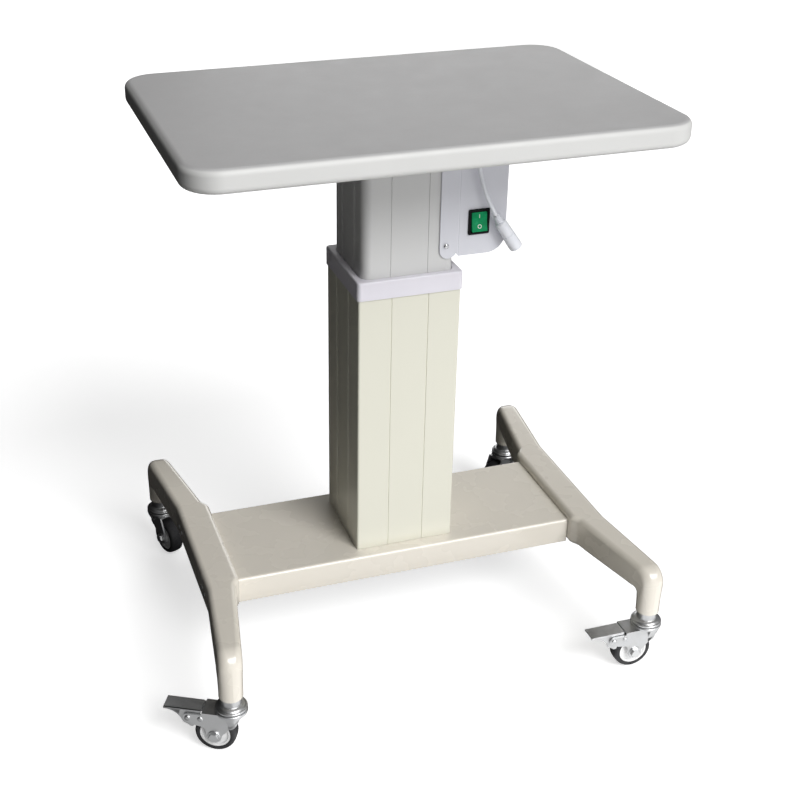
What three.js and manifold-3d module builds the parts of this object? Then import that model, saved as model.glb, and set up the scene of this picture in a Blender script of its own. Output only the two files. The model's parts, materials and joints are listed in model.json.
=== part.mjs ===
// Motorised instrument table for ophthalmic equipment.
// A rounded tabletop rides on a two-stage electric lifting column, which stands on an H-shaped
// base with four swivel casters, the front two with foot brakes.
// Millimetres, +Z up, front of the table towards -Y.

import * as THREE from 'three';
import { mergeVertices } from 'three/addons/utils/BufferGeometryUtils.js';
import Module from 'manifold-3d';

const wasm = await Module();
wasm.setup();

// ---- driving dimensions -------------------------------------------------------------------

const GAP = 0.3; // clearance between touching pieces

const TOP = { width: 570, depth: 393, thick: 27, corner: 40, edge: 8, surface: 701 };
const MOUNT_PLATE = { width: 230, depth: 170, thick: 5, corner: 12 };

const OUTER = { width: 128, depth: 125, wall: 3, corner: 2.5, top: 496 };
const INNER = { width: 114, depth: 111, wall: 3, corner: 11, bottom: 171.3 };
const COLLAR = { width: 132, depth: 129, corner: 5, bottom: 481, top: 504, lip: 7.5, chamfer: 1.5 };
const GROOVE = { offset: 23, width: 1.6, depth: 0.9 };
const GLIDE = { height: 20, top: 484 };

const BEAM = { length: 450, depth: 160, top: 133, bottom: 99, wall: 2, bend: 4 };
const SPINE = { length: 446, depth: 110, height: 25, wall: 3 };

const FOOT = {
  top: 143, bottom: 100, endBottom: 104, socket: 74, socketRadius: 14.5,
  waist: 95, waistInner: 232, waistOuter: 268, bossHalf: 93, bossSlope: 6,
  edge: 8, bend: 22, bore: 5.3, boreDepth: 32,
};
const CASTER = { x: 270, y: 223, wheel: 25, trail: 19 };

const PANEL = { left: 37, bend: 59, right: 120, tab: 519, bottom: 521, thick: 2, curl: 23 };
const BOX = { left: 58, right: 117.5, bottom: 543, back: 48, wall: 1.5, corner: 20 };
const BEZEL = 2; // how far a switch bezel stands proud
const SWITCH = {
  x: 84.8, z: 561.8, width: 26.5, height: 31.2, body: 22, bodyHeight: 27, depth: 20,
  wellWidth: 20, wellHeight: 24.8, wellDepth: 9, rockerWidth: 19.2, rockerHeight: 23.6,
};
const LIFT_SWITCH = {
  y: -8, z: 588, width: 21, height: 30, body: 17, bodyHeight: 26, depth: 16,
  wellWidth: 14, wellHeight: 22.8, wellDepth: 8, rockerWidth: 13.2, rockerHeight: 21.6,
};
const INLET = { x: 88, z: 582, width: 24, height: 50, body: 20, bodyHeight: 28, depth: 22 };
const ROCKER_TILT = THREE.MathUtils.degToRad(8);
const PANEL_SCREWS = { x: 45, heights: [535.5, 650], radius: 2 };
const TRANSFORMER = { x: 88, y: 18, z: 614 };
const BOARD = { x: 61, y: -4, z: 628, thick: 1.6 };
const CORD = { radius: 2.5, exitX: 77, exit: 645 };

const TRAVEL = 200; // lift above the height shown
const SCREW = { x: 15, radius: 6 };
const NUT = { bottom: 262, height: 24, radius: 16 };
const MOTOR = { x: -21, radius: 21, length: 76, shaft: 2.5 };
const GEAR = { module: 2.25, pinion: 8, wheel: 24, height: 8 };

// Ends of the connector that hangs from the output cord.
const plugStart = new THREE.Vector3(101, -69.5, 571.5);
const plugEnd = new THREE.Vector3(129.5, -69.5, 528.5);

// The column stands right of the middle of the footprint, because the brake pedal of the
// front left caster reaches out to the left.
const COLUMN_X = 28;

const topUnderside = TOP.surface - TOP.thick;
const plateUnderside = topUnderside - GAP - MOUNT_PLATE.thick;
const innerTop = plateUnderside - GAP;
const columnFront = -INNER.depth / 2;
const panelBack = columnFront - GAP;
const panelFront = panelBack - PANEL.thick;

// ---- materials ----------------------------------------------------------------------------

function material(color, roughness, metalness) {
  return new THREE.MeshStandardMaterial({ color, roughness, metalness });
}

const MATERIALS = {
  topLaminate: material(0xa5a3a3, 0.5, 0),
  anodised: material(0xbebebc, 0.4, 0.6),
  creamPaint: material(0xd7d6c8, 0.4, 0),
  beigePaint: material(0xbeb4a6, 0.35, 0),
  collarPlastic: material(0xd7d4de, 0.45, 0),
  panelPaint: material(0xcfd0d6, 0.4, 0),
  blackPlastic: material(0x141416, 0.4, 0),
  greenLens: material(0x1fa55a, 0.25, 0),
  whitePlastic: material(0xe9e9ee, 0.4, 0),
  zinc: material(0xb4b6b8, 0.3, 1),
  steel: material(0x8d9093, 0.35, 1),
  brass: material(0xb08d4a, 0.35, 1),
  rubber: material(0x18181a, 0.8, 0),
  boardGreen: material(0x1f5a38, 0.5, 0),
};

// ---- solids -------------------------------------------------------------------------------

function toSolid(geometry) {
  const bare = geometry.clone();
  bare.deleteAttribute('normal');
  bare.deleteAttribute('uv');
  const merged = mergeVertices(bare, 1e-4);
  const vertProperties = new Float32Array(merged.attributes.position.array);
  const triVerts = new Uint32Array(merged.index.array);
  return new wasm.Manifold(new wasm.Mesh({ numProp: 3, vertProperties, triVerts }));
}

function toGeometry(solid) {
  const { vertProperties, triVerts } = solid.getMesh();
  const geometry = new THREE.BufferGeometry();
  geometry.setAttribute('position', new THREE.BufferAttribute(new Float32Array(vertProperties), 3));
  geometry.setIndex(new THREE.BufferAttribute(new Uint32Array(triVerts), 1));
  geometry.computeVertexNormals();
  return geometry;
}

function join(...geometries) {
  const solids = geometries.map(toSolid);
  return toGeometry(solids.reduce((sum, solid) => sum.add(solid)));
}

function cut(geometry, ...tools) {
  const solids = tools.map(toSolid);
  return toGeometry(solids.reduce((rest, solid) => rest.subtract(solid), toSolid(geometry)));
}

function common(first, second) {
  return toGeometry(toSolid(first).intersect(toSolid(second)));
}

function block(x0, x1, y0, y1, z0, z1) {
  const geometry = new THREE.BoxGeometry(x1 - x0, y1 - y0, z1 - z0);
  return geometry.translate((x0 + x1) / 2, (y0 + y1) / 2, (z0 + z1) / 2);
}

function rod(radius, z0, z1, segments = 24) {
  const geometry = new THREE.CylinderGeometry(radius, radius, z1 - z0, segments);
  return geometry.rotateX(Math.PI / 2).translate(0, 0, (z0 + z1) / 2);
}

// A solid of revolution about Z from [radius, z] pairs listed from the bottom up.
function turned(profile, segments = 16) {
  const points = profile.map(([radius, z]) => new THREE.Vector2(radius, z));
  return new THREE.LatheGeometry(points, segments).rotateX(Math.PI / 2);
}

function prism(shape, z0, z1, curveSegments = 6) {
  const options = { depth: z1 - z0, bevelEnabled: false, curveSegments };
  const geometry = new THREE.ExtrudeGeometry(shape, options);
  return geometry.translate(0, 0, z0);
}

// A prism whose top and bottom edges are rounded with the given radius.
function softPrism(shape, z0, z1, radius, bevelSegments = 3, curveSegments = 6) {
  const geometry = new THREE.ExtrudeGeometry(shape, {
    depth: z1 - z0 - 2 * radius,
    bevelThickness: radius,
    bevelSize: radius,
    bevelOffset: -radius,
    bevelSegments,
    curveSegments,
  });
  return geometry.translate(0, 0, z0 + radius);
}

// Turns a prism drawn in X and Z so that it runs along Y from y0.
function alongY(shape, y0, y1, curveSegments = 6) {
  return prism(shape, -y1, -y0, curveSegments).rotateX(Math.PI / 2);
}

// Turns a prism drawn in Y and Z so that it runs along X from x0.
function alongX(shape, x0, x1, curveSegments = 6) {
  return prism(shape, x0, x1, curveSegments).rotateX(Math.PI / 2).rotateZ(Math.PI / 2);
}

function roundedRect(width, depth, radius) {
  const w = width / 2;
  const d = depth / 2;
  const shape = new THREE.Shape();
  shape.moveTo(w, -d + radius);
  shape.lineTo(w, d - radius);
  shape.absarc(w - radius, d - radius, radius, 0, Math.PI / 2, false);
  shape.lineTo(-w + radius, d);
  shape.absarc(-w + radius, d - radius, radius, Math.PI / 2, Math.PI, false);
  shape.lineTo(-w, -d + radius);
  shape.absarc(-w + radius, -d + radius, radius, Math.PI, 1.5 * Math.PI, false);
  shape.lineTo(w - radius, -d);
  shape.absarc(w - radius, -d + radius, radius, 1.5 * Math.PI, 2 * Math.PI, false);
  return shape;
}

function ring(outline, hole, z0, z1, curveSegments = 3) {
  const shape = outline.clone();
  shape.holes.push(hole);
  return prism(shape, z0, z1, curveSegments);
}

// ---- model tree ---------------------------------------------------------------------------

const table = new THREE.Group();
const assembly = new THREE.Group();
assembly.position.x = COLUMN_X;
table.add(assembly);

function add(name, geometry, finish, parent = assembly) {
  const piece = new THREE.Mesh(geometry, finish);
  piece.name = name;
  parent.add(piece);
  return piece;
}

// ---- tabletop -----------------------------------------------------------------------------

function buildTabletop() {
  const outline = roundedRect(TOP.width, TOP.depth, TOP.corner);
  const slab = softPrism(outline, topUnderside, TOP.surface, TOP.edge, 2, 6);
  add('tabletop', slab, MATERIALS.topLaminate);
  const plate = roundedRect(MOUNT_PLATE.width, MOUNT_PLATE.depth, MOUNT_PLATE.corner);
  add('top_mount_plate', prism(plate, plateUnderside, topUnderside - GAP, 3), MATERIALS.steel);
}

// ---- lifting column -----------------------------------------------------------------------

// A rectangular tube with two shallow grooves running up each of its four faces.
function groovedTube({ width, depth, wall, corner }, z0, z1) {
  const hole = roundedRect(width - 2 * wall, depth - 2 * wall, Math.max(corner - wall, 1));
  const tube = ring(roundedRect(width, depth, corner), hole, z0, z1, 4);
  const cutters = [];
  for (const side of [-1, 1]) {
    for (const face of [-1, 1]) {
      const groove = new THREE.CylinderGeometry(GROOVE.depth, GROOVE.depth, z1 - z0 + 2, 6);
      groove.rotateX(Math.PI / 2);
      groove.scale(GROOVE.width / (2 * GROOVE.depth), 1, 1);
      groove.translate(side * GROOVE.offset, (face * depth) / 2, (z0 + z1) / 2);
      cutters.push(groove);
      const sideGroove = new THREE.CylinderGeometry(GROOVE.depth, GROOVE.depth, z1 - z0 + 2, 6);
      sideGroove.rotateX(Math.PI / 2);
      sideGroove.scale(1, GROOVE.width / (2 * GROOVE.depth), 1);
      sideGroove.translate((face * width) / 2, side * GROOVE.offset, (z0 + z1) / 2);
      cutters.push(sideGroove);
    }
  }
  return cut(tube, ...cutters);
}

// Clearance bore along Y for a panel screw.
function screwBore() {
  return rod(PANEL_SCREWS.radius + GAP, -4, 4, 12).rotateX(Math.PI / 2);
}

function buildColumn() {
  add('outer_column', groovedTube(OUTER, BEAM.top + GAP, OUTER.top), MATERIALS.creamPaint);
  const screwBores = PANEL_SCREWS.heights.map((height) => {
    return screwBore().translate(PANEL_SCREWS.x, columnFront, height);
  });
  const innerTube = cut(groovedTube(INNER, INNER.bottom, innerTop), ...screwBores);
  add('inner_column', innerTube, MATERIALS.anodised);

  const { width, depth, corner, bottom, top, lip, chamfer } = COLLAR;
  const outline = roundedRect(width, depth, corner);
  const passage = roundedRect(INNER.width + 1, INNER.depth + 1, INNER.corner + 0.5);
  const recess = roundedRect(OUTER.width + 2 * GAP, OUTER.depth + 2 * GAP, OUTER.corner);
  const skirt = prism(recess, bottom - 1, top - lip, 2);
  const mouth = prism(passage, top - lip - 1, top + 1, 3);
  const trim = block(-width, width, -depth, depth, bottom - 5, bottom);
  const collar = softPrism(outline, bottom - chamfer, top, chamfer, 1, 3);
  add('column_collar', cut(collar, trim, skirt, mouth), MATERIALS.collarPlastic);

  // Plastic guides between the stages: one at the top of the outer tube, one under the inner.
  const boreWidth = OUTER.width - 2 * OUTER.wall - 2 * GAP;
  const boreDepth = OUTER.depth - 2 * OUTER.wall - 2 * GAP;
  const guide = roundedRect(boreWidth, boreDepth, 1.5);
  const guideHole = roundedRect(INNER.width + 2 * GAP, INNER.depth + 2 * GAP, INNER.corner);
  const upperGlide = ring(guide, guideHole, GLIDE.top - GLIDE.height, GLIDE.top);
  add('upper_glide_ring', upperGlide, MATERIALS.whitePlastic);
  const shoeRim = 2 * INNER.wall + 6;
  const shoeHole = roundedRect(INNER.width - shoeRim, INNER.depth - shoeRim, 5);
  const shoeTop = INNER.bottom - GAP;
  const lowerGlide = ring(guide, shoeHole, shoeTop - GLIDE.height, shoeTop);
  add('lower_glide_ring', lowerGlide, MATERIALS.whitePlastic);
}

// ---- lift actuator ------------------------------------------------------------------------

const floorPlate = { bottom: BEAM.top + 2 * GAP, thick: 6 };
const gearcase = { bottom: floorPlate.bottom + floorPlate.thick + GAP, floor: 3, height: 20, wall: 3 };
const gearBottom = gearcase.bottom + gearcase.floor + 2;
const coverBottom = gearcase.bottom + gearcase.height + GAP;

// Straight-sided gear teeth: each tooth has two root corners and two tip corners.
function gearOutline(teeth, phase) {
  const pitch = (GEAR.module * teeth) / 2;
  const root = pitch - 1.25 * GEAR.module;
  const tip = pitch + 0.85 * GEAR.module;
  const step = (2 * Math.PI) / teeth;
  const points = [];
  for (let tooth = 0; tooth < teeth; tooth += 1) {
    const corners = [[root, -0.31], [tip, -0.12], [tip, 0.12], [root, 0.31]];
    for (const [radius, share] of corners) {
      const angle = phase + (tooth + share) * step;
      points.push(new THREE.Vector2(radius * Math.cos(angle), radius * Math.sin(angle)));
    }
  }
  return new THREE.Shape(points);
}

function buildActuator() {
  const plateInset = 2 * OUTER.wall + 1;
  const plate = roundedRect(OUTER.width - plateInset, OUTER.depth - plateInset, 1);
  const plateTop = floorPlate.bottom + floorPlate.thick;
  add('column_base_plate', prism(plate, floorPlate.bottom, plateTop), MATERIALS.steel);

  const { bottom, floor, height, wall } = gearcase;
  const wheelRadius = (GEAR.module * GEAR.wheel) / 2;
  const journal = SCREW.radius - 2;
  const half = wheelRadius + wall + 2;
  const left = MOTOR.x - 14;
  const right = SCREW.x + half;
  const tray = block(left, right, -half, half, bottom, bottom + height);
  const pocket = block(
    left + wall, right - wall, -half + wall, half - wall, bottom + floor, bottom + height + 1,
  );
  const thrustBore = rod(journal + GAP + 0.1, bottom + 1, bottom + floor + 1);
  thrustBore.translate(SCREW.x, 0, 0);
  add('gearbox_housing', cut(tray, pocket, thrustBore), MATERIALS.steel);
  const screwHole = rod(SCREW.radius + 1, coverBottom - 1, coverBottom + 5);
  screwHole.translate(SCREW.x, 0, 0);
  const shaftHole = rod(MOTOR.shaft + 1, coverBottom - 1, coverBottom + 5);
  shaftHole.translate(MOTOR.x, 0, 0);
  const cover = block(left, right, -half, half, coverBottom, coverBottom + 3);
  add('gearbox_cover', cut(cover, screwHole, shaftHole), MATERIALS.steel);

  const motorBottom = coverBottom + 3 + GAP;
  const motorTop = motorBottom + MOTOR.length;
  const motor = turned([
    [0, motorBottom + 2], [MOTOR.radius - 2, motorBottom + 2], [MOTOR.radius - 2, motorBottom],
    [MOTOR.radius, motorBottom], [MOTOR.radius, motorTop - 4], [MOTOR.radius - 5, motorTop],
    [8, motorTop], [8, motorTop + 6], [0, motorTop + 6],
  ]);
  add('lift_motor', motor.translate(MOTOR.x, 0, 0), MATERIALS.blackPlastic);

  const gearTop = gearBottom + GEAR.height;
  const pinion = prism(gearOutline(GEAR.pinion, 0), gearBottom, gearTop);
  const shaft = rod(MOTOR.shaft, gearBottom - 1, coverBottom + 3, 16);
  add('motor_pinion', join(pinion, shaft), MATERIALS.brass).position.set(MOTOR.x, 0, 0);

  const wheel = prism(gearOutline(GEAR.wheel, Math.PI / GEAR.wheel), gearBottom, gearTop);
  const bore = rod(SCREW.radius + GAP, gearBottom - 1, gearTop + 1);
  add('screw_gear', cut(wheel, bore), MATERIALS.whitePlastic).position.set(SCREW.x, 0, 0);
  const nutTop = NUT.bottom + NUT.height;
  const screwTop = nutTop + TRAVEL + 6;
  const screw = turned([
    [0, bottom + 1 + GAP], [journal, bottom + 1 + GAP], [journal, gearBottom - 1],
    [SCREW.radius, gearBottom - 1], [SCREW.radius, screwTop - 2], [SCREW.radius - 2, screwTop],
    [0, screwTop],
  ]);
  add('leadscrew', screw, MATERIALS.steel).position.set(SCREW.x, 0, 0);

  const nut = turned([
    [SCREW.radius + GAP, NUT.bottom], [NUT.radius, NUT.bottom], [NUT.radius, nutTop],
    [SCREW.radius + GAP, nutTop], [SCREW.radius + GAP, NUT.bottom],
  ]);
  add('drive_nut', nut, MATERIALS.brass).position.set(SCREW.x, 0, 0);
  const tube = turned([
    [SCREW.radius + 3, nutTop + GAP], [14, nutTop + GAP], [14, innerTop - 8], [24, innerTop - 8],
    [24, innerTop], [SCREW.radius + 3, innerTop], [SCREW.radius + 3, nutTop + GAP],
  ]);
  add('push_tube', tube, MATERIALS.zinc).position.set(SCREW.x, 0, 0);
}

// ---- base ---------------------------------------------------------------------------------

// Folded sheet channel, open underneath, drawn in Y and Z.
function channelOutline() {
  const { depth, top, bottom, wall, bend } = BEAM;
  const half = depth / 2;
  const inner = bend - wall;
  const shape = new THREE.Shape();
  shape.moveTo(half - wall, bottom);
  shape.lineTo(half, bottom);
  shape.lineTo(half, top - bend);
  shape.absarc(half - bend, top - bend, bend, 0, Math.PI / 2, false);
  shape.lineTo(-half + bend, top);
  shape.absarc(-half + bend, top - bend, bend, Math.PI / 2, Math.PI, false);
  shape.lineTo(-half, bottom);
  shape.lineTo(-half + wall, bottom);
  shape.lineTo(-half + wall, top - bend);
  shape.absarc(-half + bend, top - bend, inner, Math.PI, Math.PI / 2, true);
  shape.lineTo(half - bend, top - wall);
  shape.absarc(half - bend, top - bend, inner, Math.PI / 2, 0, true);
  return shape;
}

// Seen from above: a boss that meets the beam, and two arms that splay outwards to the casters.
function footPlan() {
  const { socketRadius, waist, waistInner, waistOuter, bossHalf, bossSlope } = FOOT;
  const armLength = CASTER.y - waist;
  const outerSplay = Math.atan2(CASTER.x + socketRadius - waistOuter, armLength);
  const innerSplay = Math.atan2(CASTER.x - socketRadius - waistInner, armLength);
  const bossFace = BEAM.length / 2 + GAP;
  const shape = new THREE.Shape();
  shape.moveTo(bossFace, bossHalf - bossSlope);
  shape.lineTo(bossFace, -bossHalf + bossSlope);
  shape.lineTo(waistInner, -bossHalf - bossSlope);
  shape.absarc(CASTER.x, -CASTER.y, socketRadius, Math.PI + innerSplay, 2 * Math.PI + outerSplay, false);
  shape.lineTo(waistOuter, -waist);
  shape.lineTo(waistOuter, waist);
  shape.absarc(CASTER.x, CASTER.y, socketRadius, -outerSplay, Math.PI - innerSplay, false);
  shape.lineTo(waistInner, bossHalf + bossSlope);
  return shape;
}

// Seen from the side: level top, rounded ends, and a short socket standing on each caster.
function footProfile() {
  const { socketRadius, waist, top, bottom, endBottom, socket, bend } = FOOT;
  const end = CASTER.y + socketRadius + 1;
  const inside = CASTER.y - socketRadius - 1;
  const throat = 6;
  const shape = new THREE.Shape();
  shape.moveTo(end, socket);
  shape.lineTo(end, top - bend);
  shape.absarc(end - bend, top - bend, bend, 0, Math.PI / 2, false);
  shape.lineTo(-end + bend, top);
  shape.absarc(-end + bend, top - bend, bend, Math.PI / 2, Math.PI, false);
  shape.lineTo(-end, socket);
  shape.lineTo(-inside, socket);
  shape.lineTo(-inside, endBottom - throat);
  shape.absarc(-inside + throat, endBottom - throat, throat, Math.PI, Math.PI / 2, true);
  shape.lineTo(-waist, bottom);
  shape.lineTo(waist, bottom);
  shape.lineTo(inside - throat, endBottom);
  shape.absarc(inside - throat, endBottom - throat, throat, Math.PI / 2, 0, true);
  shape.lineTo(inside, socket);
  return shape;
}

function buildBase() {
  const half = BEAM.length / 2;
  add('cross_beam_cover', alongX(channelOutline(), -half, half, 4), MATERIALS.beigePaint);

  const spineTop = BEAM.top - BEAM.wall - GAP;
  const spineMiddle = spineTop - SPINE.height / 2;
  const { length, depth, height, wall } = SPINE;
  const tube = new THREE.BoxGeometry(length, depth, height);
  const bore = new THREE.BoxGeometry(length + 2, depth - 2 * wall, height - 2 * wall);
  add('base_spine', cut(tube, bore), MATERIALS.steel).position.z = spineMiddle;

  const { socket, top, edge, bore: boreRadius, boreDepth } = FOOT;
  const plan = softPrism(footPlan(), socket - 12, top, edge, 2, 7);
  const profile = alongX(footProfile(), half - 20, CASTER.x + 60, 4);
  const blank = common(plan, profile);
  const bores = [-1, 1].map((end) => {
    return rod(boreRadius, socket - 1, socket + boreDepth, 12).translate(CASTER.x, end * CASTER.y, 0);
  });
  const foot = cut(blank, ...bores);
  add('right_foot', foot, MATERIALS.beigePaint);
  add('left_foot', foot, MATERIALS.beigePaint).rotation.z = Math.PI;
}

// ---- control box --------------------------------------------------------------------------

// Front panel seen from the front: a tab with a round end on the column, and a plate to its right.
function panelOutline() {
  const { left, bend, right, tab, bottom, curl } = PANEL;
  const tabRadius = (bend - left) / 2;
  const shape = new THREE.Shape();
  shape.moveTo(left, innerTop);
  shape.lineTo(left, tab + tabRadius);
  shape.absarc(left + tabRadius, tab + tabRadius, tabRadius, Math.PI, 1.85 * Math.PI, false);
  shape.lineTo(bend + 2, bottom);
  shape.lineTo(right - curl, bottom);
  shape.absarc(right - curl, bottom + curl, curl, 1.5 * Math.PI, 2 * Math.PI, false);
  shape.lineTo(right, innerTop);
  return shape;
}

function boxOutline(inset) {
  const { left, right, bottom, corner } = BOX;
  const radius = corner - inset;
  const top = innerTop - 2 - inset;
  const shape = new THREE.Shape();
  shape.moveTo(left + inset, top);
  shape.lineTo(left + inset, bottom + inset);
  shape.lineTo(right - corner, bottom + inset);
  shape.absarc(right - corner, bottom + corner, radius, 1.5 * Math.PI, 2 * Math.PI, false);
  shape.lineTo(right - inset, top);
  return shape;
}

function buildControlBox() {
  const { x, z, width, height, body, bodyHeight } = SWITCH;
  const slack = 2 * GAP;
  const switchHole = block(
    x - body / 2 - slack, x + body / 2 + slack, panelFront - 1, panelBack + 1,
    z - bodyHeight / 2 - slack, z + bodyHeight / 2 + slack,
  );
  const cordHole = rod(5.3, -2, 2, 20).rotateX(Math.PI / 2);
  cordHole.translate(CORD.exitX, (panelFront + panelBack) / 2, CORD.exit);
  const screwHoles = PANEL_SCREWS.heights.map((level) => {
    return screwBore().translate(PANEL_SCREWS.x, panelBack - 1, level);
  });
  const panel = alongY(panelOutline(), panelFront, panelBack, 8);
  add('control_panel', cut(panel, switchHole, cordHole, ...screwHoles), MATERIALS.panelPaint);

  const shellFront = panelBack + GAP;
  const shell = alongY(boxOutline(0), shellFront, BOX.back, 4);
  const inside = alongY(boxOutline(BOX.wall), shellFront - 1, BOX.back - BOX.wall, 4);
  const liftHole = block(
    BOX.right - 4, BOX.right + 2,
    LIFT_SWITCH.y - LIFT_SWITCH.body / 2 - slack, LIFT_SWITCH.y + LIFT_SWITCH.body / 2 + slack,
    LIFT_SWITCH.z - LIFT_SWITCH.bodyHeight / 2 - slack, LIFT_SWITCH.z + LIFT_SWITCH.bodyHeight / 2 + slack,
  );
  const inletHole = block(
    INLET.x - INLET.body / 2 - slack, INLET.x + INLET.body / 2 + slack, BOX.back - 4, BOX.back + 2,
    INLET.z - INLET.bodyHeight / 2 - slack, INLET.z + INLET.bodyHeight / 2 + slack,
  );
  add('control_box_housing', cut(shell, inside, liftHole, inletHole), MATERIALS.panelPaint);

  // Main switch on the front panel, its upper half pressed in.
  const front = new THREE.Group();
  front.position.set(SWITCH.x, panelFront - GAP, SWITCH.z);
  assembly.add(front);
  add('power_switch_housing', switchHousing(SWITCH), MATERIALS.blackPlastic, front);
  const power = rockerGeometry(SWITCH.rockerWidth, SWITCH.rockerHeight);
  add('power_rocker', power, MATERIALS.greenLens, front).rotation.x = -ROCKER_TILT;

  // Raising and lowering switch on the right-hand side of the box.
  const side = new THREE.Group();
  side.position.set(BOX.right + GAP, LIFT_SWITCH.y, LIFT_SWITCH.z);
  side.rotation.z = Math.PI / 2;
  assembly.add(side);
  add('lift_switch_housing', switchHousing(LIFT_SWITCH), MATERIALS.blackPlastic, side);
  const lift = rockerGeometry(LIFT_SWITCH.rockerWidth, LIFT_SWITCH.rockerHeight);
  add('lift_rocker', lift, MATERIALS.whitePlastic, side);

  buildInlet();
  buildElectronics();
  buildPanelScrews();
}

// Bezel in front of the sheet it is clipped into, body behind it, and a well for the rocker.
function switchHousing({ width, height, body, bodyHeight, depth, wellWidth, wellHeight, wellDepth }) {
  const bezel = block(-width / 2, width / 2, -BEZEL, 0, -height / 2, height / 2);
  const core = block(-body / 2, body / 2, -BEZEL / 2, depth, -bodyHeight / 2, bodyHeight / 2);
  const well = block(
    -wellWidth / 2, wellWidth / 2, -BEZEL - 1, wellDepth, -wellHeight / 2, wellHeight / 2,
  );
  return cut(join(bezel, core), well);
}

// A rocker seen from the side: shallow V-shaped face, pivoting about the middle of its back.
function rockerGeometry(width, height) {
  const half = height / 2;
  const shape = new THREE.Shape();
  shape.moveTo(0, -3.4);
  shape.lineTo(5, -half + 3);
  shape.lineTo(-3.6, -half);
  shape.quadraticCurveTo(-1.4, 0, -3.6, half);
  shape.lineTo(5, half - 3);
  shape.lineTo(0, 3.4);
  return alongX(shape, -width / 2, width / 2, 5);
}

function buildInlet() {
  const { x, z, width, height, body, bodyHeight, depth } = INLET;
  const flange = block(-width / 2, width / 2, 0, 2.4, -height / 2, height / 2);
  const core = block(-body / 2, body / 2, -depth, 1, -bodyHeight / 2, bodyHeight / 2);
  const wall = 2;
  const recess = block(
    -body / 2 + wall, body / 2 - wall, -depth + 2 * wall, 2 * wall,
    -bodyHeight / 2 + wall, bodyHeight / 2 - wall,
  );
  const pins = [[-2, -7], [-2, 7], [2, 0]].map(([px, pz]) => {
    return block(px - 1, px + 1, -depth + 3, -4, pz - 2, pz + 2);
  });
  const inlet = join(cut(join(flange, core), recess), ...pins);
  add('mains_inlet', inlet, MATERIALS.blackPlastic).position.set(x, BOX.back + GAP, z);
}

function buildElectronics() {
  const laminations = block(-22, 22, -18, 18, 0, 34);
  const windings = block(-15, 15, -24, 24, 6, 28);
  const transformer = add('transformer', join(laminations, windings), MATERIALS.steel);
  transformer.position.set(TRANSFORMER.x, TRANSFORMER.y, TRANSFORMER.z);

  const { thick } = BOARD;
  const sheet = block(0, thick, -34, 34, -36, 36);
  const relay = block(thick / 2, 12, -20, -8, 4, 22);
  const capacitor = rod(5, thick / 2, 17, 16).rotateY(Math.PI / 2).translate(0, -26, -8);
  const terminals = block(thick / 2, 9, -10, 16, -26, -16);
  const board = add('control_board', join(sheet, relay, capacitor, terminals), MATERIALS.boardGreen);
  board.position.set(BOARD.x, BOARD.y, BOARD.z);
}

function buildPanelScrews() {
  const { x, heights, radius } = PANEL_SCREWS;
  const seat = PANEL.thick + GAP;
  const screw = turned([
    [0, -2.6], [radius, -2.6], [radius, seat], [radius + 1.4, seat], [radius + 0.9, seat + 1.5],
    [radius - 0.6, seat + 2.3], [0, seat + 2.3],
  ]).rotateX(Math.PI / 2);
  ['panel_screw_lower', 'panel_screw_upper'].forEach((name, index) => {
    add(name, screw, MATERIALS.zinc).position.set(x, panelBack, heights[index]);
  });
}

// ---- output cord --------------------------------------------------------------------------

function buildCord() {
  const { radius, exitX, exit } = CORD;
  const middle = (panelFront + panelBack) / 2;
  const nose = 4.6;
  const seat = PANEL.thick / 2 + GAP;
  const grommet = turned([
    [radius + GAP, -nose + 1], [7, -nose + 1], [7, -seat], [5, -seat], [5, seat], [7, seat],
    [7, nose - 1.8], [5.4, nose], [radius + GAP, nose], [radius + GAP, -nose + 1],
  ]).rotateX(Math.PI / 2);
  add('cord_grommet', grommet, MATERIALS.whitePlastic).position.set(exitX, middle, exit);

  // The cord leaves the grommet forwards, turns down and hangs towards the right.
  const face = middle - nose - GAP;
  const route = [
    new THREE.Vector3(exitX, face, exit),
    new THREE.Vector3(exitX, face - 3.5, exit - 0.6),
    new THREE.Vector3(77.5, -69.5, 637),
    new THREE.Vector3(79.2, -69.5, 625),
    new THREE.Vector3(88.6, -69.5, 596),
    plugStart.clone(),
  ];
  const curve = new THREE.CatmullRomCurve3(route);
  const section = new THREE.Shape();
  const sides = 8;
  for (let side = 0; side < sides; side += 1) {
    const angle = (2 * Math.PI * side) / sides;
    const point = [radius * Math.cos(angle), radius * Math.sin(angle)];
    if (side === 0) section.moveTo(...point);
    else section.lineTo(...point);
  }
  const sweep = { extrudePath: curve, steps: 12, bevelEnabled: false };
  const tube = new THREE.ExtrudeGeometry(section, sweep);
  add('output_cord', tube, MATERIALS.whitePlastic);

  const along = plugEnd.clone().sub(plugStart);
  const length = along.length();
  const plug = turned([
    [0, GAP], [3.6, GAP], [3.9, 8], [6.2, 10], [6.6, 30], [7.2, 31.5], [7.2, length],
    [5.4, length], [5.4, length - 10], [0, length - 10],
  ]);
  const piece = add('cord_connector', plug, MATERIALS.whitePlastic);
  piece.position.copy(plugStart);
  piece.quaternion.setFromUnitVectors(new THREE.Vector3(0, 0, 1), along.normalize());
}

// ---- casters ------------------------------------------------------------------------------

// Each caster is built about its own swivel axis, with the wheel trailing towards local +X.
const FORK = { top: 62, crown: 19.5, plate: 56, inner: 11, sheet: 2.2, pivotX: 50, pivotZ: 48.5 };
const axleHeight = CASTER.wheel;

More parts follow.
